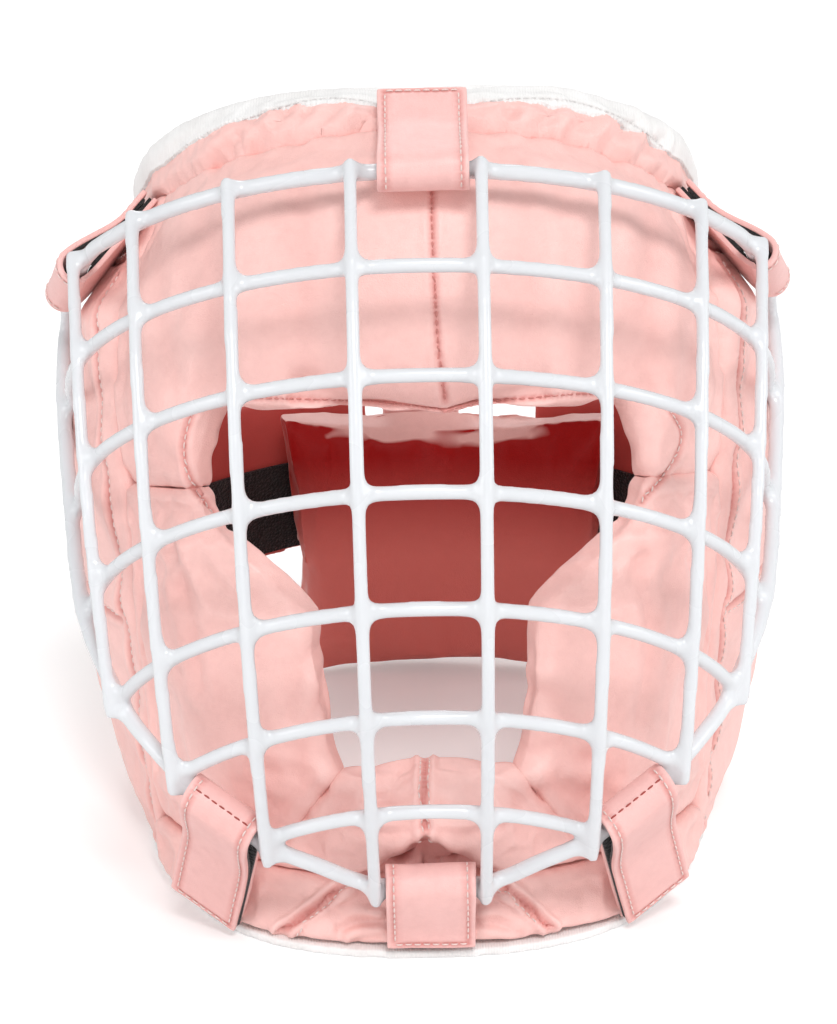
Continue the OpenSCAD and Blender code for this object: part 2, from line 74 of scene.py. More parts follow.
camera = {
    "place": (0.0, -1.1704, 0.567),
    "lookDown": 21.0,
    "roll": -1.2,
    "focalPixels": 3500.0,
    "middle": (422.8, 512.0),
    "picture": (837, 1024),
}


def makeCamera(spec):
    bpy.ops.object.camera_add(location=spec["place"])
    cam = bpy.context.object
    cam.name = "photoCamera"
    tilt = Matrix.Rotation(math.radians(90 - spec["lookDown"]), 4, "X")
    turn = Matrix.Rotation(math.radians(spec["roll"]), 4, "Z")
    cam.matrix_world = Matrix.Translation(spec["place"]) @ tilt @ turn
    cam.data.sensor_width = 36
    cam.data.lens = spec["focalPixels"] / spec["picture"][1] * 36
    cam.data.shift_x = -(spec["middle"][0] - spec["picture"][0] / 2) / spec["picture"][1]
    cam.data.clip_end = 50
    scene.camera = cam
    return cam


bpy.ops.object.select_all(action="DESELECT")
photoCamera = makeCamera(camera)
cameraTurn = photoCamera.matrix_world.to_3x3()
cameraPlace = Vector(camera["place"])


def pixelRay(px, py):
    # direction from the camera through a place in the photograph
    u = px - camera["middle"][0]
    v = camera["middle"][1] - py
    return (cameraTurn @ Vector((u, v, -camera["focalPixels"]))).normalized()


# Work helpers

def deselectAll():
    if bpy.context.object and bpy.context.object.mode != "OBJECT":
        bpy.ops.object.mode_set(mode="OBJECT")
    bpy.ops.object.select_all(action="DESELECT")


def pick(*pieces):
    deselectAll()
    for piece in pieces:
        piece.select_set(True)
    bpy.context.view_layer.objects.active = pieces[0]


def finishWith(piece, kind, **settings):
    # adds a modifier and applies it
    pick(piece)
    mod = piece.modifiers.new(kind.lower(), kind)
    for key, value in settings.items():
        setattr(mod, key, value)
    bpy.ops.object.modifier_apply(modifier=mod.name)


def subdivided(piece, levels):
    finishWith(piece, "SUBSURF", levels=levels, render_levels=levels)


def readPoints(piece):
    co = np.empty(len(piece.data.vertices) * 3)
    piece.data.vertices.foreach_get("co", co)
    return co.reshape(-1, 3)


def readNormals(piece):
    no = np.empty(len(piece.data.vertices) * 3)
    piece.data.vertices.foreach_get("normal", no)
    return no.reshape(-1, 3)


def writePoints(piece, co):
    piece.data.vertices.foreach_set("co", np.ascontiguousarray(co, dtype=np.float64).ravel())
    piece.data.update()


def cleanCopy(nodeName, pieceName):
    # a copy of a CAD node with its triangles joined up again
    piece = bpy.data.objects.new(pieceName, cadNodes[nodeName].data.copy())
    scene.collection.objects.link(piece)
    piece.data.materials.clear()
    pick(piece)
    bpy.ops.mesh.customdata_custom_splitnormals_clear()
    bpy.ops.object.mode_set(mode="EDIT")
    bpy.ops.mesh.select_all(action="SELECT")
    bpy.ops.mesh.remove_doubles(threshold=0.00002)
    bpy.ops.object.mode_set(mode="OBJECT")
    return piece


def faceOutward(piece):
    pick(piece)
    bpy.ops.object.mode_set(mode="EDIT")
    bpy.ops.mesh.select_all(action="SELECT")
    bpy.ops.mesh.normals_make_consistent(inside=False)
    bpy.ops.object.mode_set(mode="OBJECT")


def keepOuterShell(piece):
    # a cover has the hollow for its foam inside, which is let go
    co = readPoints(piece)
    far = int(np.argmax(np.linalg.norm(co - co.mean(0), axis=1)))
    pick(piece)
    bpy.ops.object.mode_set(mode="EDIT")
    bpy.ops.mesh.select_all(action="DESELECT")
    bpy.ops.object.mode_set(mode="OBJECT")
    piece.data.vertices[far].select = True
    bpy.ops.object.mode_set(mode="EDIT")
    bpy.ops.mesh.select_linked()
    bpy.ops.mesh.select_all(action="INVERT")
    bpy.ops.mesh.delete(type="VERT")
    bpy.ops.object.mode_set(mode="OBJECT")


def surfaceTree(*pieces):
    points, faces = [], []
    for piece in pieces:
        base = len(points)
        points += [v.co.copy() for v in piece.data.vertices]
        faces += [[base + i for i in p.vertices] for p in piece.data.polygons]
    return BVHTree.FromPolygons(points, faces)


def smoothLook(piece, angle=None):
    pick(piece)
    if angle is None:
        bpy.ops.object.shade_smooth()
    else:
        bpy.ops.object.shade_smooth_by_angle(angle=math.radians(angle))


def ease(lo, hi, x):
    k = np.clip((x - lo) / (hi - lo), 0, 1)
    return k * k * (3 - 2 * k)


def alongPath(points, step):
    # points at an even step along a smooth curve through the given ones
    pts = [Vector(p) for p in points]
    fine = []
    for i in range(len(pts) - 1):
        a, b = pts[max(i - 1, 0)], pts[i]
        c, d = pts[i + 1], pts[min(i + 2, len(pts) - 1)]
        for j in range(24):
            k = j / 24
            fine.append(0.5 * ((2 * b) + (c - a) * k + (2 * a - 5 * b + 4 * c - d) * k * k
                               + (3 * b - a - 3 * c + d) * k * k * k))
    fine.append(pts[-1])
    out, need = [fine[0]], step
    for a, b in zip(fine, fine[1:]):
        length = (b - a).length
        if length < 1e-9:
            continue
        done = 0.0
        while length - done >= need:
            done += need
            out.append(a.lerp(b, done / length))
            need = step
        need -= length - done
    return out


def seenPath(tree, pixels, step=1.0):
    # a line drawn over the photograph, laid on the surface that carries it
    out = []
    for p in alongPath([(x, y, 0) for x, y in pixels], step * 2.5):
        hit, normal, index, far = tree.ray_cast(cameraPlace, pixelRay(p.x, p.y))
        if hit is not None:
            out.append((hit, normal))
    return evenly(out, step * mm)


def laidPath(tree, places, step=1.0):
    # a line through places in the row frame (mm), moved onto the nearest surface
    out = []
    for p in alongPath([Vector(q) * mm for q in places], step * mm):
        hit, normal, index, far = tree.find_nearest(p)
        if hit is not None:
            out.append((hit, normal))
    return evenly(out, step * mm)


def evenly(line, step):
    if not line:
        return line
    out = [line[0]]
    for p in line[1:]:
        if (p[0] - out[-1][0]).length >= step * 0.98:
            out.append(p)
    return out


rimY, frontY, backY, halfWide = 15.6, -117.4, 144.6, 127.0
headSections = np.array([  # front y z, middle y z, back y z, half width, squareness
    [frontY, 0, rimY, 0, backY, 0, 110, 2.35],
    [frontY + 4, 28, rimY + 2, 18, backY + 2, 22, 114, 2.2],
    [frontY + 4, 60, rimY + 4, 42, backY + 2, 48, halfWide - 9, 2],
    [frontY + 7, 103, rimY + 8, 72, backY, 78, halfWide - 6, 2],
    [frontY + 13, 148, rimY + 14, 104, backY - 4, 104, halfWide - 3, 2],
    [frontY + 32, 187, rimY + 24, 136, backY - 8, 128, halfWide, 2],
    [frontY + 50, 236, rimY + 36, 170, backY - 12, 150, halfWide - 6, 2],
    [frontY + 83, 274, rimY + 52, 203, backY - 20, 176, halfWide - 20, 2],
    [frontY + 119, 275, rimY + 52, 233, backY - 40, 206, halfWide - 28, 2],
    [frontY + 156, 264, rimY + 48, 245, backY - 64, 232, halfWide - 66, 2]])


def headPoint(angle, level):
    # place on the outside of the head shape in mm; angle 0 is the front and 90 the right
    last = len(headSections) - 1
    i = min(max(int(level), 0), last - 1)
    k = level - i
    a, b = headSections[max(i - 1, 0)], headSections[i]
    c, d = headSections[i + 1], headSections[min(i + 2, last)]
    s = 0.5 * ((2 * b) + (c - a) * k + (2 * a - 5 * b + 4 * c - d) * k * k
               + (3 * b - a - 3 * c + d) * k ** 3)
    turn = math.radians(angle)
    middle = np.array([0, s[2], s[3]])
    reach = np.array([0, s[0], s[1]]) - middle if math.cos(turn) >= 0 else middle - np.array([0, s[4], s[5]])
    square = (abs(math.sin(turn)) ** s[7] + abs(math.cos(turn)) ** s[7]) ** (-1 / s[7])
    return middle + (np.array([s[6] * math.sin(turn), 0, 0]) + reach * math.cos(turn)) * square


def headLine(tree, places, step=1.0):
    # a line through (angle, level) places of the head shape, laid on a pad
    return laidPath(tree, [headPoint(a, t) for a, t in places], step)


def headShell():
    # the outside of the head shape as one skin
    angles, levels = np.arange(0, 360, 4), np.linspace(0, 8.8, 56)
    points = [Vector(headPoint(a, t)) * mm for t in levels for a in angles]
    n = len(angles)
    faces = [[r * n + i, r * n + (i + 1) % n, (r + 1) * n + (i + 1) % n, (r + 1) * n + i]
             for r in range(len(levels) - 1) for i in range(n)]
    return BVHTree.FromPolygons(points, faces)


shellTree = headShell()
headCentre = Vector((0, 0.0356, 0.110))


def levelSeams(piece, neighbours, reach=9.0, depth=8.0):
    # draws the rolled edges of a pad out to the head's shape, so that its sewn seams close level
    co = readPoints(piece)
    for i, c in enumerate(co):
        place = Vector(c)
        gap = min(t.find_nearest(place)[3] for t in neighbours) / mm
        if gap > reach:
            continue
        hit, out, index, far = shellTree.find_nearest(place)
        sunk = far / mm
        if sunk > depth or (hit - place).dot(hit - headCentre) < 0:
            continue
        share = 1 - ease(reach * 0.5, reach, gap)
        co[i] += np.array((hit - place).normalized()) * (sunk - sunk * (sunk / depth) ** 1.3) * share * mm
    writePoints(piece, co)


def meetSeams(piece, neighbours, near=4.0, reach=9.0, half=0.5, over=0.0):
    # pads that are sewn together meet halfway, also where their edges are rounded
    co, no = readPoints(piece), readNormals(piece)
    for i, c in enumerate(co):
        place = Vector(c)
        hits = [h for h in (t.find_nearest(place, reach * mm) for t in neighbours) if h[0] is not None]
        if not hits:
            continue
        hit = min(hits, key=lambda h: h[3])
        gap = hit[3] / mm
        if gap < 0.01:
            continue
        way = (hit[0] - place).normalized()
        facing = way.dot(Vector(no[i]))
        share = (1 - ease(near, reach, gap)) * ease(-0.05, 0.45, facing)
        co[i] += np.array(way) * (gap * half + over) * share * mm
    writePoints(piece, co)


def headGrid():
    tree, places = KDTree(361 * 430), []
    for a in range(0, 361):
        for t in np.arange(0, 8.6, 0.02):
            places.append((a if a <= 180 else a - 360, t))
            tree.insert(Vector(headPoint(a, t)) * mm, len(places) - 1)
    tree.balance()
    return tree, places


def swell(piece, centre, radius, amount, way=None):
    # a soft bulge about a place in mm
    co, no = readPoints(piece), readNormals(piece)
    far = np.linalg.norm(co / mm - np.array(centre), axis=1) / radius
    lift = np.exp(-far * far) * amount * mm
    writePoints(piece, co + (no if way is None else np.array(way)) * lift[:, None])


def lineDistance(co, line):
    tree = KDTree(len(line))
    for i, p in enumerate(line):
        tree.insert(p[0], i)
    tree.balance()
    return np.array([tree.find(c)[2] for c in co])


def seamShade(piece, values):
    # how deep in a seam each point lies, read by the leather and the binding as painted shade
    layer = piece.data.attributes.get("seamDepth") or piece.data.attributes.new("seamDepth", "FLOAT", "POINT")
    old = np.zeros(len(piece.data.vertices))
    layer.data.foreach_get("value", old)
    layer.data.foreach_set("value", np.maximum(old, values).astype(np.float32))


def pressSeam(piece, line, width, depth, bank=0.0, tint=1.0):
    # sinks a seam into the leather, with a soft bank on either side, and paints shade into the groove, scaled by tint
    if len(line) < 2:
        return
    co, no = readPoints(piece), readNormals(piece)
    lo = np.min([list(p[0]) for p in line], axis=0) - 4 * width * mm
    hi = np.max([list(p[0]) for p in line], axis=0) + 4 * width * mm
    near = np.where(np.all((co > lo) & (co < hi), axis=1))[0]
    d = lineDistance(co[near], line) / (width * mm)
    dip = np.exp(-d * d)
    rise = np.exp(-(d - 2.2) ** 2 / 0.8) * bank
    co[near] -= no[near] * ((dip * depth - rise) * mm)[:, None]
    writePoints(piece, co)
    shade = np.zeros(len(co))
    shade[near] = dip * tint
    seamShade(piece, shade)


# Finishes

def startMaterial(name, colour, roughness):
    mat = bpy.data.materials.new(name)
    mat.use_nodes = True
    tree = mat.node_tree
    shader = tree.nodes["Principled BSDF"]
    shader.inputs["Base Color"].default_value = (*colour, 1)
    shader.inputs["Roughness"].default_value = roughness
    place = tree.nodes.new("ShaderNodeTexCoord")
    mapping = tree.nodes.new("ShaderNodeMapping")
    tree.links.new(place.outputs["Object"], mapping.inputs["Vector"])
    return mat, tree, shader, mapping


def setSockets(node, values):
    for name, value in values.items():
        node.inputs[name].default_value = value


def noiseNode(tree, mapping, scale, detail=3, roughness=0.5, distortion=0.0):
    node = tree.nodes.new("ShaderNodeTexNoise")
    setSockets(node, {"Scale": scale, "Detail": detail, "Roughness": roughness, "Distortion": distortion})
    tree.links.new(mapping.outputs["Vector"], node.inputs["Vector"])
    return node


def rampNode(tree, source, stops):
    node = tree.nodes.new("ShaderNodeValToRGB")
    band = node.color_ramp
    while len(band.elements) < len(stops):
        band.elements.new(0.5)
    for element, (at, colour) in zip(band.elements, stops):
        element.position = at
        element.color = (*colour, 1) if len(colour) == 3 else colour
    tree.links.new(source, node.inputs["Fac"])
    return node


def mixColour(tree, factor, a, b, kind="MIX"):
    node = tree.nodes.new("ShaderNodeMix")
    node.data_type = "RGBA"
    node.blend_type = kind
    for socket, value in ((node.inputs[0], factor), (node.inputs[6], a), (node.inputs[7], b)):
        if isinstance(value, bpy.types.NodeSocket):
            tree.links.new(value, socket)
        elif isinstance(value, (int, float)):
            socket.default_value = value
        else:
            socket.default_value = (*value, 1)
    return node.outputs[2]


def mathNode(tree, kind, a, b=0.5):
    node = tree.nodes.new("ShaderNodeMath")
    node.operation = kind
    for socket, value in ((node.inputs[0], a), (node.inputs[1], b)):
        if isinstance(value, bpy.types.NodeSocket):
            tree.links.new(value, socket)
        else:
            socket.default_value = value
    return node.outputs[0]


def bumpChain(tree, shader, heights):
    # heights are (socket, depth in mm), coarse to fine
    last = None
    for height, depth in heights:
        bump = tree.nodes.new("ShaderNodeBump")
        bump.inputs["Strength"].default_value = 1.0
        bump.inputs["Distance"].default_value = depth * mm
        tree.links.new(height, bump.inputs["Height"])
        if last is not None:
            tree.links.new(last, bump.inputs["Normal"])
        last = bump.outputs["Normal"]
    tree.links.new(last, shader.inputs["Normal"])


def attributeNode(tree, name):
    node = tree.nodes.new("ShaderNodeAttribute")
    node.attribute_name = name
    return node.outputs["Fac"]


leatherLook = {
    "light": (0.945, 0.600, 0.558),
    "middle": (0.925, 0.540, 0.498),
    # the next colour is painted shade laid into pressed seams, folds and gaps, at seamTint strength
    "seam": (0.600, 0.130, 0.110),
    # the next two colours are painted shade on the inside of the rear panel and the rear straps: deep red near the top,
    # pinker low down
    "insideShadeTop": (0.420, 0.003, 0.003),
    "insideShadeLow": (0.930, 0.270, 0.235),
    "roughness": 0.43,
    "poreScale": 1250,
    "poreDepth": 0.05,
    "grainScale": 420,
    "grainDepth": 0.06,
    "creaseScale": 70,
    "creaseDepth": 0.30,
    "patchScale": 14,
    "toneScale": 220,
    "toneShare": 0.6,
    "seamTint": 0.75,
    "wornEdge": (0.95, 0.70, 0.66),
    "wornShare": 0.16,
    "gloss": {"Specular IOR Level": 0.5, "Coat Weight": 0.12, "Coat Roughness": 0.28, "Sheen Weight": 0.06},
    "shadedInsideCoat": 0.08,
}


def leather(name, light, middle, insideShaded=False):
    look = leatherLook
    mat, tree, shader, mapping = startMaterial(name, light, look["roughness"])
    patches = noiseNode(tree, mapping, look["patchScale"], 4, 0.55, 0.4)
    tone = rampNode(tree, patches.outputs["Fac"], [(0.32, middle), (0.68, light)])
    colour = tone.outputs["Color"]
    fine = noiseNode(tree, mapping, look["toneScale"], 3, 0.6)
    spots = rampNode(tree, fine.outputs["Fac"], [(0.3, (0.93, 0.90, 0.90)), (0.6, (1, 1, 1))])
    colour = mixColour(tree, look["toneShare"], colour, spots.outputs["Color"], "MULTIPLY")
    # painted shade on the inward faces: the colour runs from pink low down to deep red at the top
    if insideShaded:
        inside = rampNode(tree, attributeNode(tree, "shadedInside"), [(0.25, (0, 0, 0)), (0.75, (1, 1, 1))])
        height = rampNode(tree, attributeNode(tree, "insideShadeHeight"),
                          [(0.05, look["insideShadeLow"]), (0.95, look["insideShadeTop"])])
        colour = mixColour(tree, inside.outputs["Color"], colour, height.outputs["Color"])
    # painted shade in seams, folds and gaps, by how deep each is pressed
    sunk = mathNode(tree, "MULTIPLY", attributeNode(tree, "seamDepth"), look["seamTint"])
    colour = mixColour(tree, sunk, colour, look["seam"])
    edge = tree.nodes.new("ShaderNodeNewGeometry")
    worn = rampNode(tree, edge.outputs["Pointiness"], [(0.50, (0, 0, 0)), (0.58, (1, 1, 1))])
    rubbed = mathNode(tree, "MULTIPLY", worn.outputs["Color"], look["wornShare"])
    colour = mixColour(tree, rubbed, colour, look["wornEdge"])
    tree.links.new(colour, shader.inputs["Base Color"])
    matt = rampNode(tree, patches.outputs["Fac"], [(0.3, (0.38,) * 3), (0.7, (0.50,) * 3)])
    tree.links.new(matt.outputs["Color"], shader.inputs["Roughness"])
    setSockets(shader, look["gloss"])
    if insideShaded:
        gloss = rampNode(tree, attributeNode(tree, "shadedInside"), [(0.25, (0.60,) * 3), (0.75, (0.20,) * 3)])
        tree.links.new(gloss.outputs["Color"], shader.inputs["Specular IOR Level"])
        shader.inputs["Coat Weight"].default_value = look["shadedInsideCoat"]
    pores = tree.nodes.new("ShaderNodeTexVoronoi")
    pores.feature = "DISTANCE_TO_EDGE"
    pores.inputs["Scale"].default_value = look["poreScale"]
    tree.links.new(mapping.outputs["Vector"], pores.inputs["Vector"])
    pits = rampNode(tree, pores.outputs["Distance"], [(0.0, (0, 0, 0)), (0.22, (1, 1, 1))])
    grain = noiseNode(tree, mapping, look["grainScale"], 5, 0.65, 0.3)
    crease = noiseNode(tree, mapping, look["creaseScale"], 3, 0.45, 1.2)
    bumpChain(tree, shader, [(crease.outputs["Fac"], look["creaseDepth"]),
                             (grain.outputs["Fac"], look["grainDepth"] * 3),
                             (pits.outputs["Color"], look["poreDepth"])])
    return mat


padLeather = leather("padLeather", leatherLook["light"], leatherLook["middle"])
insideShadedLeather = leather("insideShadedLeather", leatherLook["light"], leatherLook["middle"], True)
strapLeather = leather("strapLeather", (0.890, 0.530, 0.500), (0.870, 0.485, 0.455))
insideShadedStrap = leather("insideShadedStrap", (0.925, 0.570, 0.530), (0.905, 0.515, 0.475), True)


def coatedWire():
    mat, tree, shader, mapping = startMaterial("coatedWire", (0.66, 0.68, 0.71), 0.26)
    flow = noiseNode(tree, mapping, 30, 1, 0.5, 0.6)
    tint = rampNode(tree, flow.outputs["Fac"], [(0.3, (0.700, 0.716, 0.742)), (0.7, (0.712, 0.728, 0.752))])
    tree.links.new(tint.outputs["Color"], shader.inputs["Base Color"])
    dull = rampNode(tree, noiseNode(tree, mapping, 40, 1, 0.5).outputs["Fac"],
                    [(0.35, (0.25,) * 3), (0.7, (0.30,) * 3)])
    tree.links.new(dull.outputs["Color"], shader.inputs["Roughness"])
    setSockets(shader, {"Coat Weight": 0.25, "Coat Roughness": 0.16})
    runs = noiseNode(tree, mapping, 70, 1, 0.5, 0.8)
    bumpChain(tree, shader, [(runs.outputs["Fac"], 0.01)])
    return mat


def hookAndLoop():
    mat, tree, shader, mapping = startMaterial("hookAndLoop", (0.008, 0.008, 0.009), 0.85)
    tufts = tree.nodes.new("ShaderNodeTexVoronoi")
    tufts.inputs["Scale"].default_value = 900
    tree.links.new(mapping.outputs["Vector"], tufts.inputs["Vector"])
    fuzz = noiseNode(tree, mapping, 2200, 4, 0.7, 1.0)
    lint = rampNode(tree, noiseNode(tree, mapping, 1300, 5, 0.75, 2.0).outputs["Fac"],
                    [(0.62, (0.006, 0.006, 0.007)), (0.82, (0.050, 0.049, 0.050))])
    tree.links.new(lint.outputs["Color"], shader.inputs["Base Color"])
    shader.inputs["Sheen Weight"].default_value = 0.25
    bumpChain(tree, shader, [(tufts.outputs["Distance"], 0.5), (fuzz.outputs["Fac"], 0.3)])
    return mat


def tapeBinding():
    mat, tree, shader, mapping = startMaterial("whiteBinding", (0.86, 0.85, 0.84), 0.55)
    soft = noiseNode(tree, mapping, 60, 4, 0.6)
    tint = rampNode(tree, soft.outputs["Fac"], [(0.3, (0.80, 0.785, 0.775)), (0.7, (0.89, 0.885, 0.88))])
    # painted shade in the stitch grooves and gathers of the binding, by how deep they are pressed
    grooveShade = mathNode(tree, "MULTIPLY", attributeNode(tree, "seamDepth"), 0.35)
    tree.links.new(mixColour(tree, grooveShade, tint.outputs["Color"], (0.50, 0.42, 0.40)), shader.inputs["Base Color"])
    ribs = tree.nodes.new("ShaderNodeTexWave")
    setSockets(ribs, {"Scale": 330, "Distortion": 1.5})
    tree.links.new(mapping.outputs["Vector"], ribs.inputs["Vector"])
    fuzz = noiseNode(tree, mapping, 900, 4, 0.6)
    bumpChain(tree, shader, [(ribs.outputs["Fac"], 0.08), (fuzz.outputs["Fac"], 0.10)])
    shader.inputs["Sheen Weight"].default_value = 0.1
    return mat


def sewingThread(name, colour):
    mat, tree, shader, mapping = startMaterial(name, colour, 0.6)
    twist = noiseNode(tree, mapping, 1800, 3, 0.6)
    tint = rampNode(tree, twist.outputs["Fac"], [(0.3, tuple(c * 0.75 for c in colour)), (0.65, colour)])
    tree.links.new(tint.outputs["Color"], shader.inputs["Base Color"])
    bumpChain(tree, shader, [(twist.outputs["Fac"], 0.12)])
    return mat


wireCoating = coatedWire()
hookTape = hookAndLoop()
bindingTape = tapeBinding()
paleThread = sewingThread("paleThread", (0.88, 0.70, 0.66))
whiteThread = sewingThread("whiteThread", (0.74, 0.72, 0.71))
redThread = sewingThread("redThread", (0.42, 0.075, 0.06))
roseThread = sewingThread("roseThread", (0.66, 0.26, 0.23))
print("finishes ready")


# Sewing

stitch = {"length": 2.3, "thick": 0.62, "pitch": 3.1, "break": 12, "sway": 0.12, "uneven": 0.08}


def makeStitch():
    # one short thread that dips into the leather at both ends
    deselectAll()
    bpy.ops.mesh.primitive_cylinder_add(vertices=6, radius=0.5, depth=1, location=(0, 0, 0),
                                        rotation=(0, math.pi / 2, 0))
    piece = bpy.context.object
    bpy.ops.object.transform_apply(location=False, rotation=True, scale=True)
    bpy.ops.object.mode_set(mode="EDIT")
    for cut in (-0.24, 0.24):
        bpy.ops.mesh.select_all(action="SELECT")
        bpy.ops.mesh.bisect(plane_co=(cut, 0, 0), plane_no=(1, 0, 0))
    bpy.ops.object.mode_set(mode="OBJECT")
    for v in piece.data.vertices:
        end = abs(v.co.x) > 0.4
        v.co.y *= 0.55 if end else 1
        v.co.z = v.co.z * (0.55 if end else 1) - (0.42 if end else 0)
    piece.data.shade_smooth()
    for holder in list(piece.users_collection):
        holder.objects.unlink(piece)
    return piece


stitchShape = makeStitch()


def sewRow(name, lines, thread, body, blendTo=None, pitch=stitch["pitch"], thick=stitch["thick"]):
    # copies the one stitch along each line of (place, normal)
    pitch, thick, length = pitch * mm, thick * mm, stitch["length"] * mm
    copies = []
    for line in lines:
        walked, nextAt = 0.0, pitch * 0.5
        for (a, na), (b, nb) in zip(line, line[1:]):
            step = (b - a).length
            if step > stitch["break"] * mm:
                walked += step
                nextAt = walked + pitch * 0.5
                continue
            while step > 0 and nextAt <= walked + step:
                k = (nextAt - walked) / step
                place = a.lerp(b, k)
                up = na.lerp(nb, k).normalized()
                along = (b - a).normalized()
                side = up.cross(along).normalized()
                up = along.cross(side)
                jitter = noise.noise(place * 900)
                turn = Matrix((along, side, up)).transposed().to_4x4()
                size = Matrix.Diagonal((length * (1 + stitch["uneven"] * jitter), thick, thick, 1))
                mesh = stitchShape.data.copy()
                spot = place + side * jitter * stitch["sway"] * mm + up * thick * 0.25
                mesh.transform(Matrix.Translation(spot) @ turn @ size)
                copy = bpy.data.objects.new(name, mesh)
                scene.collection.objects.link(copy)
                copies.append(copy)
                nextAt += pitch
            walked += step
    if not copies:
        print("no stitches for", name)
        return None
    pick(*copies)
    bpy.ops.object.join()
    piece = bpy.context.object
    piece.name = name
    piece.data.materials.clear()
    piece.data.materials.append(thread)
    if blendTo:
        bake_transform(piece)
    else:
        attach(piece, body)
    return piece


# Pads: each starts as its cover, is filled by a cloth simulation and then sewn

def bothSides(name, spec):
    # the left and the right pad of a pair; a star in a node's name stands for the side
    pair = {}
    for side in ("left", "right"):
        one = dict(spec, cover=spec["cover"].replace("*", side))
        for key in ("foam", "beside", "level"):
            if key in spec:
                one[key] = [n.replace("*", side) for n in spec[key]]
        pair[name + side.capitalize()] = one
    return pair


padShapes = {
    "foreheadPad": {
        "cover": "forehead_cover", "foam": ["forehead_foam"],
        "beside": ["side_cover_left", "side_cover_right", "cheek_cover_left", "cheek_cover_right",
                   "crown_band_left", "crown_band_right"],
        "level": ["side_cover_left", "side_cover_right", "cheek_cover_left", "cheek_cover_right"],
        "voxel": 4.3, "start": 1.0, "cap": 5, "slack": 0.025, "fill": 0.75},
    **bothSides("cheekPad", {
        "cover": "cheek_cover_*", "foam": ["cheek_foam_*"],
        "beside": ["forehead_cover", "side_cover_*", "chin_cover", "lower_chin_panel_*"],
        "level": ["forehead_cover", "side_cover_*", "chin_cover"],
        "start": 1.2, "cap": 6, "slack": 0.03, "fill": 0.75}),
    "chinPad": {
        "cover": "chin_cover", "foam": ["chin_foam"],
        "beside": ["cheek_cover_left", "cheek_cover_right", "lower_chin_panel_left", "lower_chin_panel_right"],
        "level": ["cheek_cover_left", "cheek_cover_right"],
        "start": 1.2, "cap": 6, "slack": 0.04, "fill": 0.7},
    **bothSides("lowerChin", {
        "cover": "lower_chin_panel_*", "foam": [],
        "beside": ["chin_cover", "cheek_cover_*", "side_cover_*", "neck_binding"],
        "start": 1.6, "cap": 5, "slack": 0.05, "fill": 0.6}),
    **bothSides("sidePad", {
        "cover": "side_cover_*", "foam": ["side_foam_*"],
        "beside": ["forehead_cover", "cheek_cover_*", "lower_chin_panel_*", "crown_band_*", "neck_binding"],
        "level": ["forehead_cover", "cheek_cover_*", "lower_chin_panel_*"],
        "voxel": 4.3, "start": 0.6, "cap": 6, "slack": 0.02, "fill": 0.75}),
    "rearPanel": {
        "cover": "rear_cover", "foam": ["rear_foam"], "beside": [],
        "start": 2.0, "cap": 6, "slack": 0.015, "fill": 0.8},
    **bothSides("crownBand", {
        "cover": "crown_band_*", "foam": [],
        "beside": ["forehead_cover", "side_cover_*", "crown_binding"],
        "start": 1.4, "cap": 3, "slack": 0.03, "fill": 0.5}),
}
filling = {"voxel": 3.2, "pressure": 4.0, "frames": 20, "holdNear": 3.0, "looseFrom": 9.0, "seamClose": 0.45,
           "levels": 2, "leastHold": 0.01}
clothValues = {"quality": 6, "mass": 0.2, "air_damping": 2, "tension_stiffness": 25, "compression_stiffness": 25,
               "shear_stiffness": 12, "bending_stiffness": 1.2, "use_pressure": True,
               "uniform_pressure_force": filling["pressure"]}
brow = {"halfWide": (52, 66), "drop": 3.4, "forward": 0.8, "tuck": 7.0, "point": 2.2, "pointAt": 8, "pointWide": 11}


def templeSwell(piece, side):
    swell(piece, headPoint(68 * side, 5.9), 28, 7.0, (side * 0.95, -0.25, 0.1))


def eyeCorner(piece, side):
    swell(piece, headPoint(43.5 * side, 4.5), 16, 5.0, (-side * 0.73, -0.68, 0))


def shapePad(name, piece):
    # forms that the photograph shows on single pads
    co = readPoints(piece)
    x, y, z = co[:, 0] / mm, co[:, 1] / mm, co[:, 2] / mm
    if name == "foreheadPad":
        # the brow edge hangs lower over the eyes and dips to a point in the middle
        low = (1 - ease(188, 206, z)) * (1 - ease(*brow["halfWide"], np.abs(x)))
        point = np.exp(-np.abs((x - brow["pointAt"]) / brow["pointWide"]) ** 1.5) * (1 - ease(186, 197, z))
        tuck = (1 - ease(186, 200, z)) * (1 - ease(*brow["halfWide"], np.abs(x))) * (y < -70)
        co[:, 2] -= (low * brow["drop"] + point * brow["point"]) * mm
        co[:, 1] += (tuck * brow["tuck"] - low * brow["forward"]) * mm
        writePoints(piece, co)
        for side in (-1, 1):
            templeSwell(piece, side)
            eyeCorner(piece, side)
    elif name == "rearPanel":
        co[:, 2] += ease(88, 110, z) * 1.2 * mm
        writePoints(piece, co)
    elif name.startswith("sidePad"):
        side = 1 if name.endswith("Right") else -1
        swell(piece, headPoint(74 * side, 5.2), 44, 3.8)
        templeSwell(piece, side)
        swell(piece, headPoint(92 * side, 3.0), 40, 1.6)
    elif name.startswith("cheekPad"):
        eyeCorner(piece, 1 if name.endswith("Right") else -1)
    elif name == "chinPad":
        swell(piece, (0, -88, 72), 26, 2.2, (0, 0.1, 1))


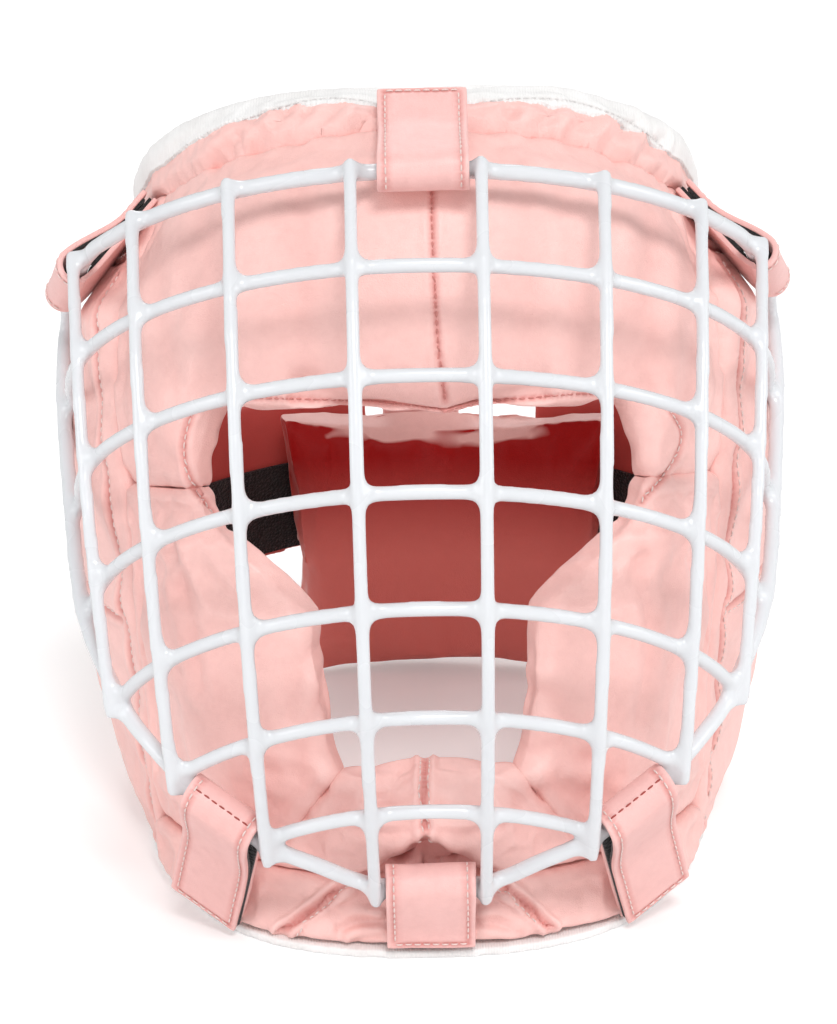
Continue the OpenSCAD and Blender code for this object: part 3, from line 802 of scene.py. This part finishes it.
def startPad(name, spec):
    piece = cleanCopy(spec["cover"], name)
    keepOuterShell(piece)
    faceOutward(piece)
    cut = surfaceTree(piece)
    finishWith(piece, "REMESH", mode="VOXEL", voxel_size=spec.get("voxel", filling["voxel"]) * mm)
    finishWith(piece, "SMOOTH", factor=0.5, iterations=2)
    writePoints(piece, np.array([list(cut.find_nearest(Vector(c))[0]) for c in readPoints(piece)]))
    if "level" in spec:
        sewn = [surfaceTree(cadNodes[n]) for n in spec["level"]]
        levelSeams(piece, sewn)
        meetSeams(piece, sewn)
    shapePad(name, piece)
    co = readPoints(piece)
    trees = [surfaceTree(cadNodes[n]) for n in spec["beside"]]
    gap = np.array([min((t.find_nearest(Vector(c))[3] for t in trees), default=1) for c in co])
    spec["held"] = 1 - ease(filling["holdNear"] * mm, filling["looseFrom"] * mm, gap)
    shrink = spec["start"] * (1 - spec["held"]) - filling["seamClose"] * spec["held"]
    writePoints(piece, co - readNormals(piece) * shrink[:, None] * mm)
    return piece


def startCloth(piece, spec):
    sewn = piece.vertex_groups.new(name="sewn")
    for i, w in enumerate(spec["held"]):
        if w > filling["leastHold"]:
            sewn.add([i], float(w), "REPLACE")
    cloth = piece.modifiers.new("filling", "CLOTH")
    settings = cloth.settings
    for key, value in clothValues.items():
        setattr(settings, key, value)
    settings.effector_weights.gravity = 0
    settings.shrink_min = settings.shrink_max = -spec["slack"]
    settings.vertex_group_mass = "sewn"
    cloth.collision_settings.use_collision = False
    cloth.collision_settings.use_self_collision = False
    cloth.point_cache.frame_start = 1
    cloth.point_cache.frame_end = filling["frames"] + 1


def endCloth(piece, spec, before):
    pick(piece)
    bpy.ops.object.modifier_apply(modifier="filling")
    move = readPoints(piece) - before
    far = np.linalg.norm(move, axis=1)
    limit = spec["cap"] * mm
    scale = np.where(far > 1e-9, limit * np.tanh(far / limit) / np.maximum(far, 1e-9), 0)
    scale *= 1 - spec["held"] ** 2
    writePoints(piece, before + move * scale[:, None])
    print("  ", piece.name, "moved up to %.1f mm, on average %.1f mm" % (far.max() * 1000, far.mean() * 1000))


pads = {name: startPad(name, spec) for name, spec in padShapes.items()}
rest = {name: readPoints(piece) for name, piece in pads.items()}
for name, piece in pads.items():
    startCloth(piece, padShapes[name])
deselectAll()
for step in range(1, filling["frames"] + 1):
    scene.frame_set(step)
for name, piece in pads.items():
    endCloth(piece, padShapes[name], rest[name])
scene.frame_set(1)
for name, piece in pads.items():
    subdivided(piece, filling["levels"])
    smoothLook(piece)
bare = {name: surfaceTree(piece) for name, piece in pads.items()}
coverPads = {spec["cover"]: name for name, spec in padShapes.items()}
for name, spec in padShapes.items():
    if "level" in spec:
        meetSeams(pads[name], [bare[coverPads[n]] for n in spec["level"]], 2.0, 5.0, 0.5, 0.06)
print("pads filled:", {n: len(p.data.polygons) for n, p in pads.items()})


# Cage: the wires are joined and dipped, so the coating runs round every crossing

cage = {"dip": 1.25, "voxel": 1.25, "settle": 12, "sampleEach": 37, "skin": 0.10}


def makeCage(spec):
    names = [n for n in cadNodes if n.startswith("cage_")]
    bare = surfaceTree(*[cadNodes[n] for n in names])
    wires = []
    for n in sorted(names):
        wire = cleanCopy(n, "wire")
        faceOutward(wire)
        writePoints(wire, readPoints(wire) + readNormals(wire) * spec["dip"] * mm)
        wires.append(wire)
    pick(*wires)
    bpy.ops.object.join()
    piece = bpy.context.object
    piece.name = "cageWires"
    finishWith(piece, "REMESH", mode="VOXEL", voxel_size=spec["voxel"] * mm)
    finishWith(piece, "SMOOTH", factor=0.5, iterations=spec["settle"])
    for trim in range(2):
        co = readPoints(piece)
        sample = range(0, len(co), spec["sampleEach"])
        outside = np.array([bare.find_nearest(Vector(co[i]))[3] for i in sample])
        writePoints(piece, co - readNormals(piece) * (np.median(outside) - spec["skin"] * mm))
        finishWith(piece, "SMOOTH", factor=0.5, iterations=3 - trim)
    smoothLook(piece)
    piece.data.materials.append(wireCoating)
    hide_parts(*names)
    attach(piece, "headgear")
    return piece


cageWires = makeCage(cage)
print("cage dipped:", len(cageWires.data.polygons), "faces")


# Cage straps: a loop round the rim wire, and a flap that folds back over it

strapShape = {"thick": 2.0, "loop": 6.0, "hingeY": 1.3, "hingeZ": 6.0, "flat": -1.3, "tape": 1.2, "skew": 0.15,
              "reach": 27.0, "bendEnds": 9, "stitchIn": 2.7, "tapeIn": 0.7, "tapeShort": 0.9, "waver": 0.4}
strapSeam = {"width": 0.9, "depth": 0.34, "bank": 0.1}
straps = {
    "topStrap": {"node": "top", "side": "", "along": (0, 0.891, 0.455), "length": 42, "width": 30},
    "chinStrap": {"node": "chin", "side": "", "along": (0, 0.09, -0.996), "length": 26.6, "width": 30},
    "jawStrapLeft": {"node": "jaw", "side": "_left", "along": (-0.271, 0.5, -0.822), "length": 57, "width": 27},
    "jawStrapRight": {"node": "jaw", "side": "_right", "along": (0.271, 0.5, -0.822), "length": 57, "width": 27},
    "templeStrapLeft": {"node": "temple", "side": "_left", "along": (0.585, 0.6, 0.545), "length": 38, "width": 30},
    "templeStrapRight": {"node": "temple", "side": "_right", "along": (-0.585, 0.6, 0.545), "length": 38, "width": 30},
}


def strapPlace(spec):
    # the strap's own frame: x along the wire, y down the strap, z away from the head
    hinge = hinges[spec["node"] + "_flap_hinge" + spec["side"]]
    x = Vector(hinge["axis"]).normalized()
    along = Vector(spec["along"])
    y = (along - x * along.dot(x)).normalized()
    z = x.cross(y)
    if z.dot(Vector(hinge["pos_m"]) - headCentre) < 0:
        z = -z
    if spec["node"] == "jaw":
        # the jaw straps hang askew, towards the chin
        y = y - x * math.copysign(strapShape["skew"], x.x * hinge["pos_m"][0])
    start = Vector(hinge["pos_m"]) - y * strapShape["hingeY"] * mm - z * strapShape["hingeZ"] * mm
    place = Matrix((x, y, z)).transposed().to_4x4()
    place.translation = start
    return place


def ribbon(name, route, width):
    # a strip drawn out along a route of (y, z) places in mm
    deselectAll()
    bpy.ops.mesh.primitive_grid_add(x_subdivisions=8, y_subdivisions=1, size=1, location=(0, 0, 0))
    piece = bpy.context.object
    piece.name = name
    bpy.ops.object.mode_set(mode="EDIT")
    bpy.ops.mesh.select_all(action="DESELECT")
    bpy.ops.object.mode_set(mode="OBJECT")
    for v in piece.data.vertices:
        v.select = v.co.y > 0
    bpy.ops.object.mode_set(mode="EDIT")
    bpy.ops.mesh.delete(type="VERT")
    bpy.ops.mesh.select_all(action="SELECT")
    bpy.ops.transform.resize(value=(width * mm, 1, 1))
    bpy.ops.transform.translate(value=(0, 0.5 + route[0][0] * mm, route[0][1] * mm))
    for a, b in zip(route, route[1:]):
        move = (0, (b[0] - a[0]) * mm, (b[1] - a[1]) * mm)
        bpy.ops.mesh.extrude_region_move(TRANSFORM_OT_translate={"value": move})
    bpy.ops.mesh.select_all(action="SELECT")
    bpy.ops.mesh.normals_make_consistent(inside=False)
    bpy.ops.object.mode_set(mode="OBJECT")
    return piece


def smoothRoute(points, step):
    return [(p.x / mm, p.y / mm) for p in alongPath([(y * mm, z * mm, 0) for y, z in points], step * mm)]


def thicken(piece, thick, edge=0.5):
    finishWith(piece, "SOLIDIFY", thickness=thick * mm, offset=0, use_even_offset=True)
    finishWith(piece, "BEVEL", width=edge * mm, segments=2, limit_method="ANGLE", angle_limit=math.radians(50))
    subdivided(piece, 1)
    smoothLook(piece, 60)


def waver(piece, amount, scale):
    # slight unevenness, as cut and handled leather has
    co = readPoints(piece)
    for i, c in enumerate(co):
        n = noise.noise_vector(Vector(c) * scale)
        co[i] += np.array(n) * amount * mm
    writePoints(piece, co)


def onPlace(piece, place, material):
    piece.data.transform(place)
    piece.data.update()
    piece.data.materials.append(material)


def turned(radius, first, last, step=12):
    # places on the fold round the rim wire, by angle
    return [(radius * math.cos(math.radians(a)), radius * math.sin(math.radians(a)))
            for a in range(first, last - 1, -step)]


def fallen(length, drop):
    # the flap leaves the fold and comes down on the tapes
    r, flat, reach = strapShape["loop"], strapShape["flat"], min(strapShape["reach"], length - 1)
    slope = [(y, flat + (r - flat) * (1 - ease(-1.5, reach, y)) - drop) for y in np.arange(2.5, length - 1, 2.5)]
    return slope + [(length, flat - drop)]


def strapTape(name, route, width, place):
    piece = ribbon(name, route, width - strapShape["tapeIn"])
    thicken(piece, strapShape["tape"], 0.2)
    onPlace(piece, place, hookTape)
    return piece


def makeStrap(name, spec):
    # builds a loop, a flap with its hook tape and the stitches, and gives back the tape under the flap
    place = strapPlace(spec)
    length, width, r = spec["length"], spec["width"], strapShape["loop"]
    side = spec["side"]
    loopRoute = [(y, -r) for y in np.linspace(length, 4, 10)] + turned(r - 0.5, 270, 234)
    flapRoute = turned(r, 246, 90) + smoothRoute([(0, r)] + fallen(length, 0), 1.5)[1:]
    body = spec["node"] + "_flap" + side
    loop, flap = ribbon(name + "Loop", loopRoute, width), ribbon(name + "Flap", flapRoute, width)
    for piece in (loop, flap):
        thicken(piece, strapShape["thick"])
        waver(piece, strapShape["waver"], 55)
        onPlace(piece, place, strapLeather)
    under = strapShape["thick"] / 2 + strapShape["tape"] / 2
    tapeEnd = length - strapShape["tapeShort"]
    hookRoute = smoothRoute(fallen(length, under)[:-1] + [(tapeEnd, strapShape["flat"] - under)], 2.0)
    hook = strapTape(name + "HookTape", hookRoute, width, place)
    looped = strapTape(name + "LoopTape", [(y, under - r) for y in np.linspace(tapeEnd, 2, 12)], width, place)
    tree = surfaceTree(flap)
    high = strapShape["hingeZ"] * mm
    fold = {"body": body, "start": place @ Vector((0, 0, high)),
            "end": place @ Vector((0, strapShape["bendEnds"] * mm, high))}
    half = width / 2 - strapShape["stitchIn"]
    outer = [(y * (r + 1) / r, z * (r + 1) / r) for y, z in turned(r, 200, 90)]
    outer += [(y, z + 1.0) for y, z in flapRoute if 1.2 < y < length - 2.5]
    rows = [[(x, y, z) for y, z in outer] for x in (-half, half)]
    rows.append([(x, length - 2.6, strapShape["flat"] + 1.0) for x in np.linspace(-half, half, 12)])
    lines = [laidPath(tree, [place @ (Vector(p) * mm) / mm for p in row]) for row in rows]
    for line in lines:
        pressSeam(flap, line, **strapSeam)
    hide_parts(spec["node"] + "_strap_loop" + side)
    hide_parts(spec["node"] + "_strap_flap" + side)
    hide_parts(spec["node"] + "_hook_tape" + side)
    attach(loop, "headgear")
    for piece in (flap, hook):
        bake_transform(piece)
    sewRow(name + "Stitches", lines, paleThread, "headgear", fold)
    if spec["node"] == "jaw":
        turn = math.radians(20)
        crest = [(x, -(r + 1) * math.cos(turn), (r + 1) * math.sin(turn)) for x in np.linspace(-half, half, 12)]
        crestLine = laidPath(tree, [place @ (Vector(p) * mm) / mm for p in crest])
        sewRow(name + "CrestStitches", [crestLine], redThread, "headgear")
    return looped


pick(*[makeStrap(name, spec) for name, spec in straps.items()])
bpy.ops.object.join()
strapTapes = bpy.context.object
strapTapes.name = "strapLoopTapes"
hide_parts("strap_loop_tapes")
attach(strapTapes, "headgear")
print("straps sewn")


# Bindings, crown strap and rear closure

def floatLayer(piece, name, values):
    layer = piece.data.attributes.new(name, "FLOAT", "POINT")
    layer.data.foreach_set("value", np.asarray(values, dtype=np.float32))


def softCopy(node, name, material, body, voxel, rounds=2, levels=1, grow=0.0):
    piece = cleanCopy(node, name)
    faceOutward(piece)
    finishWith(piece, "REMESH", mode="VOXEL", voxel_size=voxel * mm)
    finishWith(piece, "SMOOTH", factor=0.5, iterations=rounds)
    if grow:
        writePoints(piece, readPoints(piece) + readNormals(piece) * grow * mm)
    if levels:
        subdivided(piece, levels)
    smoothLook(piece)
    piece.data.materials.append(material)
    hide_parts(node)
    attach(piece, body)
    return piece


crownBinding = softCopy("crown_binding", "crownBinding", bindingTape, "headgear", 1.25, 5, 0, 0.25)
neckBinding = softCopy("neck_binding", "neckBinding", bindingTape, "headgear", 1.3, 2, 1, 0.1)
low = readPoints(neckBinding)
low[:, 2] *= 0.72
writePoints(neckBinding, low)
softCopy("crown_strap", "crownStrap", strapLeather, "headgear", 1.35, 3, 1, 0.2)
rearStrap = {"topRise": 5.0, "riseFrom": (78, 110), "insideShadeTone": 0.62}
for side in ("left", "right"):
    strap = softCopy("rear_strap_" + side, "rearStrap" + side.capitalize(), insideShadedStrap,
                     "rear_closure_" + side, 1.3, 3, 1, 0.15)
    high = readPoints(strap)
    high[:, 2] += ease(*rearStrap["riseFrom"], high[:, 2] / mm) * rearStrap["topRise"] * mm
    writePoints(strap, high)
    # the faces turned towards the head get painted shade, at a fixed tone between the pink and the deep red
    towardsHead = np.array([0, 0.04, 0.11]) - readPoints(strap)
    towardsHead /= np.linalg.norm(towardsHead, axis=1)[:, None]
    floatLayer(strap, "shadedInside", ease(-0.1, 0.4, (towardsHead * readNormals(strap)).sum(1)))
    floatLayer(strap, "insideShadeHeight", np.full(len(strap.data.vertices), rearStrap["insideShadeTone"]))
    rearTape = cadNodes["rear_hook_tape_" + side].data
    rearTape.materials.clear()
    rearTape.materials.append(hookTape)
print("bindings and closures placed")


# Pads take their leather and their places

for name, piece in pads.items():
    spec = padShapes[name]
    piece.data.materials.append(insideShadedLeather if name == "rearPanel" else padLeather)
    if name == "rearPanel":
        # the inward faces get painted shade, deeper towards the top; the upward-facing top edge is left out of it and
        # stays pale as a painted highlight
        no = readNormals(piece)
        floatLayer(piece, "shadedInside", (1 - ease(-0.7, 0.2, no[:, 1])) * (1 - ease(0.35, 0.75, no[:, 2])))
        floatLayer(piece, "insideShadeHeight", ease(0.045, 0.105, readPoints(piece)[:, 2]))
    seamShade(piece, np.zeros(len(piece.data.vertices)))
    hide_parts(spec["cover"], *spec["foam"])
    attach(piece, "headgear")


# Seams, folds and stitches of the pads, drawn over the photograph where it shows them

frontPads = [piece for name, piece in pads.items() if name != "rearPanel"]


def dent(piece, scale, depth, seed):
    # soft unevenness of hand-filled leather
    co, no = readPoints(piece), readNormals(piece)
    shift = Vector((seed * 3.1, seed * 1.7, seed * 2.3))
    lift = np.array([noise.noise(Vector(c) * scale + shift) for c in co])
    writePoints(piece, co + no * (lift * depth * mm)[:, None])


for i, piece in enumerate(pads.values()):
    dent(piece, 24, 1.2, i)
    dent(piece, 70, 0.40, i + 20)

frontTree = surfaceTree(*frontPads)
# folds paint a little shade into their grooves
foldTint = 0.10
bands = ("crownBandLeft", "crownBandRight")
lowerPads = ("lowerChinLeft", "lowerChinRight", "chinPad")
folds = {
    "foreheadRidges": {"width": 5.5, "depth": 0.9, "bank": 0.35, "lines": [
        [(152, 225), (157, 290), (170, 380)], [(203, 205), (208, 290), (222, 385)],
        [(300, 180), (303, 270), (310, 380)], [(522, 178), (530, 260), (533, 350)],
        [(560, 182), (575, 270), (580, 370)], [(648, 200), (652, 290), (648, 380)],
        [(690, 215), (700, 290), (692, 385)]]},
    "cheekFolds": {"width": 3.4, "depth": 1.1, "bank": 0.45, "lines": [
        [(330, 640), (300, 668), (290, 720)], [(322, 700), (305, 730), (300, 770)],
        [(170, 540), (188, 610), (200, 690)], [(525, 690), (552, 700), (575, 735)],
        [(530, 755), (560, 745), (590, 760)], [(640, 560), (650, 640), (640, 720)],
        [(262, 770), (300, 782), (340, 800)], [(520, 800), (560, 790), (600, 800)]]},
    "chinFolds": {"width": 2.0, "depth": 1.0, "bank": 0.4, "lines": [
        [(422, 790), (395, 800), (365, 796)], [(430, 800), (455, 812), (490, 806)],
        [(424, 825), (390, 835), (350, 826)], [(430, 828), (462, 836), (500, 826)]]},
    "crownGathers": {"pads": bands, "width": 2.4, "depth": 1.3, "bank": 0.6, "lines": [
        [(210, 168), (226, 152), (240, 138)], [(252, 150), (270, 130), (288, 114)],
        [(282, 142), (296, 126), (306, 112)], [(308, 140), (324, 122), (338, 108)],
        [(342, 134), (360, 122), (377, 114)], [(498, 132), (508, 120), (512, 110)],
        [(530, 134), (546, 120), (556, 106)], [(566, 138), (584, 124), (596, 112)],
        [(604, 148), (622, 132), (636, 122)], [(636, 160), (652, 146), (664, 138)]]},
    "strapPuckers": {"width": 1.5, "depth": 1.0, "bank": 0.5, "lines": [
        [(379, 905), (362, 900), (345, 903)], [(379, 922), (360, 922), (340, 930)],
        [(379, 938), (360, 940), (338, 945)], [(478, 905), (497, 902), (512, 908)],
        [(478, 922), (498, 924), (520, 934)]]},
}
for look in folds.values():
    for pixels in look["lines"]:
        line = seenPath(frontTree, pixels)
        for piece in [pads[n] for n in look["pads"]] if "pads" in look else frontPads:
            pressSeam(piece, line, look["width"], look["depth"], look["bank"], foldTint)

# the crown bands tuck in under the forehead pad
for n in bands:
    meetSeams(pads[n], [surfaceTree(pads["foreheadPad"])], 2.5, 6.0, 1.0, 1.0)

# the folded gap between the chin pad and the lower chin panels, with full painted shade deep in the gap
chinGap = {"width": 4.0, "depth": 9.0, "bank": 0.8, "lines": [
    [(425, 853), (400, 868), (368, 888)], [(425, 853), (452, 866), (487, 884)], [(425, 862), (426, 880)]]}
for pixels in chinGap["lines"]:
    line = seenPath(frontTree, pixels)
    for n in lowerPads:
        pressSeam(pads[n], line, chinGap["width"], chinGap["depth"], chinGap["bank"])

tapeFold = {"edgeLevels": (7.25, 7.8), "sideEnd": 112, "lowest": 7.2, "kept": 0.12, "lip": (-0.030, 0.012),
            "rise": 1.9, "sunk": 0.9, "settle": 8, "lines": [
                [(176, 172), (203, 149), (232, 130), (266, 117), (299, 107), (328, 103), (353, 104), (378, 108)],
                [(480, 108), (506, 104), (540, 103), (572, 106), (606, 116), (638, 132), (668, 156), (684, 170)]]}


def crownTape():
    # the binding tape is folded over the upper edge of the gathered bands
    grid, places = headGrid()
    seenLevels = []
    for pixels in tapeFold["lines"]:
        for place, up in seenPath(frontTree, pixels):
            angle, level = places[grid.find(place)[1]]
            if abs(angle) < tapeFold["sideEnd"] and level > tapeFold["lowest"]:
                seenLevels.append((abs(angle), level))
    seenLevels.sort()
    angles = np.array([v[0] for v in seenLevels])
    levels = np.array([v[1] for v in seenLevels])
    smooth = np.polyfit(angles, levels, 3)

    def tapeEdge(at):
        turn = np.clip(np.abs(at[:, 0]), angles.min(), angles.max())
        return np.clip(np.polyval(smooth, turn), *tapeFold["edgeLevels"])

    parts = []
    for n in bands:
        tape = pads[n].copy()
        tape.data = pads[n].data.copy()
        tape.name = "tapePart"
        scene.collection.objects.link(tape)
        finishWith(tape, "SMOOTH", factor=0.5, iterations=tapeFold["settle"])
        at = np.array([places[grid.find(Vector(c))[1]] for c in readPoints(tape)])
        tape.data.vertices.foreach_set("select", (at[:, 1] < tapeEdge(at) - tapeFold["kept"]).astype(bool))
        pick(tape)
        bpy.ops.object.mode_set(mode="EDIT")
        bpy.ops.mesh.select_mode(type="VERT")
        bpy.ops.mesh.delete(type="VERT")
        bpy.ops.mesh.select_all(action="SELECT")
        bpy.ops.mesh.subdivide(number_cuts=1)
        bpy.ops.object.mode_set(mode="OBJECT")
        co, no = readPoints(tape), readNormals(tape)
        at = []
        for three in (grid.find_n(Vector(c), 3) for c in co):
            weights = [1 / (far + 1e-5) for q, k, far in three]
            at.append(np.average([places[k] for q, k, far in three], axis=0, weights=weights))
        at = np.array(at)
        over = ease(*tapeFold["lip"], at[:, 1] - tapeEdge(at))
        writePoints(tape, co + no * ((over * tapeFold["rise"] - tapeFold["sunk"]) * mm)[:, None])
        tape.data.materials.clear()
        tape.data.materials.append(bindingTape)
        parts.append(tape)
    pick(crownBinding, *parts)
    bpy.ops.object.join()


crownTape()
seams = {
    "foreheadSeam": {"pads": ["foreheadPad"], "width": 1.1, "depth": 0.9, "bank": 0.35, "thread": roseThread, "lines": [
        [(431, 150), (432, 200), (434, 270), (438, 340), (443, 385), (446, 404)]]},
    "browStitch": {"pads": ["foreheadPad"], "width": 0.9, "depth": 0.6, "bank": 0.2, "thread": roseThread, "lines": [
        [(232, 398), (300, 399), (370, 402), (430, 408), (446, 411)],
        [(446, 411), (480, 403), (540, 397), (590, 394), (640, 398)]]},
    "eyeSeams": {
        "pads": ["foreheadPad", "cheekPadLeft", "cheekPadRight", "sidePadLeft", "sidePadRight"],
        "width": 1.2, "depth": 1.0, "bank": 0.4, "thread": paleThread, "lines": [
            [(193, 410), (184, 440), (185, 465), (198, 492), (220, 518)],
            [(668, 408), (682, 432), (676, 458), (660, 480), (640, 502)]]},
    "chinSeam": {"pads": ["chinPad"], "width": 1.3, "depth": 1.8, "bank": 1.0, "thread": paleThread, "beside": 1.5,
                 "lines": [[(425, 757), (424, 790), (425, 825), (425, 852)]]},
    "chinOverlap": {"pads": lowerPads, "width": 1.3, "depth": 2.4, "bank": 1.2, "lines": [
        [(356, 878), (335, 892), (305, 915), (268, 941)], [(494, 880), (515, 895), (540, 918), (567, 943)]]},
    "chinTopstitch": {"pads": lowerPads, "width": 0.9, "depth": 0.5, "bank": 0.2, "thread": paleThread, "lines": [
        [(352, 888), (330, 904), (308, 922), (290, 940)], [(486, 884), (505, 896), (530, 918), (548, 942)]]},
}


def besideLine(line, offset):
    if not offset:
        return [line]
    out = []
    for side in (-1, 1):
        row = []
        for i, (place, up) in enumerate(line):
            a, b = line[max(i - 1, 0)][0], line[min(i + 1, len(line) - 1)][0]
            across = up.cross((b - a)).normalized() * offset * mm * side
            row.append((place + across, up))
        out.append(row)
    return out


def dropOnto(tree, line):
    # lays a line on the pads again once they are shaped
    out = []
    for place, up in line:
        hit, normal, index, far = tree.find_nearest(place)
        out.append((hit, normal))
    return out


seamLines = {}
for name, seam in seams.items():
    seamLines[name] = [seenPath(frontTree, q) for q in seam["lines"]]
    for line in seamLines[name]:
        for n in seam["pads"]:
            pressSeam(pads[n], line, seam["width"], seam["depth"], seam["bank"])

# seams and edge stitching that run round to the sides and the back, as (angle, level) on the head shape
roundSeams = {
    "sideSeams": {"pads": ["sidePadLeft", "sidePadRight"], "width": 1.4, "depth": 1.2, "bank": 0.5, "lines": [
        [(67, 0.5), (66.5, 2), (66, 4), (67, 6.3)], [(122, 0.6), (122, 2), (122, 4), (119, 6.1)],
        [(68, 6.45), (90, 6.5), (118, 6.4)], [(67, 3.1), (85, 3.5), (104, 3.4), (121, 2.9)]]},
    "rearSeams": {"pads": ["rearPanel"], "width": 1.4, "depth": 1.2, "bank": 0.5, "lines": [
        [(149, 0.4), (149, 2), (149, 3.85)], [(149, 3.85), (165, 3.9), (176, 3.9)],
        [(149, 1.3), (165, 1.3), (176, 1.3), (190, 1.3), (203, 1.3)],
        [(176, 3.9), (190, 3.9), (203, 3.85)], [(203, 3.85), (203, 2), (203, 0.4)]]},
}
roundLines = {}
for name, seam in roundSeams.items():
    lines = []
    for n in seam["pads"]:
        tree = surfaceTree(pads[n])
        for places in seam["lines"]:
            mirror = -1 if n.endswith("Left") else 1
            line = headLine(tree, [(a * mirror, t) for a, t in places])
            lines.append(line)
        for line in lines:
            pressSeam(pads[n], line, seam["width"], seam["depth"], seam["bank"])
    roundLines[name] = lines

edge = surfaceTree(crownBinding)
bindingRows = []
for pixels in ([(190, 156), (203, 144), (232, 125), (266, 112), (299, 102), (328, 98), (353, 99), (378, 103)],
               [(480, 103), (506, 99), (540, 98), (572, 101), (606, 111), (638, 127), (664, 148)]):
    row = seenPath(edge, pixels)
    if len(row) > 3:
        pressSeam(crownBinding, row, 0.8, 0.3, 0.1)
        bindingRows.append(dropOnto(surfaceTree(crownBinding), row))
sewRow("crownBindingStitches", bindingRows, whiteThread, "headgear", thick=0.5)

frontTree = surfaceTree(*frontPads)
for name, seam in seams.items():
    if "thread" in seam:
        rows = [dropOnto(frontTree, row) for line in seamLines[name] for row in besideLine(line, seam.get("beside"))]
        sewRow(name + "Stitches", rows, seam["thread"], "headgear", pitch=2.9)
allTree = surfaceTree(*pads.values())
for name, lines in roundLines.items():
    rows = [dropOnto(allTree, besideLine(line, 2.4)[0]) for line in lines if len(line) > 3]
    sewRow(name + "Stitches", rows, paleThread, "headgear")
print("pads sewn")


# Studio

studio = {"floorTone": 0.90, "floorLift": 0.20, "sky": 0.49, "sun": 1.38, "sunAngle": 16.0,
          "front": 5.2, "side": 10, "back": 8}


def makeFloor(tone):
    deselectAll()
    bpy.ops.mesh.primitive_plane_add(size=12, location=(0, 0, 0))
    floor = bpy.context.object
    floor.name = "studioFloor"
    bpy.ops.object.mode_set(mode="EDIT")
    bpy.ops.mesh.subdivide(number_cuts=3)
    bpy.ops.object.mode_set(mode="OBJECT")
    mat = bpy.data.materials.new("paleFloor")
    mat.use_nodes = True
    tree = mat.node_tree
    shader = tree.nodes["Principled BSDF"]
    setSockets(shader, {"Base Color": (tone, tone, tone, 1), "Roughness": 0.7, "Specular IOR Level": 0.2,
                        "Emission Color": (1, 1, 1, 1)})
    path = tree.nodes.new("ShaderNodeLightPath")
    lift = mathNode(tree, "MULTIPLY", path.outputs["Is Camera Ray"], studio["floorLift"])
    tree.links.new(lift, shader.inputs["Emission Strength"])
    floor.data.materials.append(mat)
    return floor


def areaLight(name, place, target, size, power):
    bpy.ops.object.light_add(type="AREA", location=place)
    lamp = bpy.context.object
    lamp.name = name
    lamp.data.shape = "DISK"
    lamp.data.size = size
    lamp.data.energy = power
    lamp.rotation_euler = (Vector(target) - Vector(place)).to_track_quat("-Z", "Y").to_euler()
    return lamp


makeFloor(studio["floorTone"])
deselectAll()
bpy.ops.object.light_add(type="SUN", location=(0.3, -1.5, 1.9))
keyLight = bpy.context.object
keyLight.name = "keyLight"
keyLight.data.energy = studio["sun"]
keyLight.data.angle = math.radians(studio["sunAngle"])
keyLight.rotation_euler = Vector((-0.3, 1.5, -1.9)).to_track_quat("-Z", "Y").to_euler()
areaLight("leftLight", (-1.8, -0.8, 0.9), (0, 0, 0.14), 1.2, studio["side"])
areaLight("rightLight", (1.8, -0.5, 0.9), (0, 0, 0.14), 1.2, studio["side"])
areaLight("frontLight", (0, -1.9, 0.42), (0, 0, 0.13), 1.5, studio["front"])
areaLight("backLight", (0, 1.6, 1.6), (0, 0, 0.14), 1.0, studio["back"])
world = bpy.data.worlds.new("studioWorld")
scene.world = world
world.use_nodes = True
worldTree = world.node_tree
sky = worldTree.nodes["Background"]
sky.inputs["Color"].default_value = (1, 1, 1, 1)
path = worldTree.nodes.new("ShaderNodeLightPath")
seen = mathNode(worldTree, "MAXIMUM", path.outputs["Is Camera Ray"], path.outputs["Is Transmission Ray"])
worldTree.links.new(mathNode(worldTree, "MAXIMUM", seen, studio["sky"]), sky.inputs["Strength"])
scene.view_settings.view_transform = "Standard"
print("studio lit")
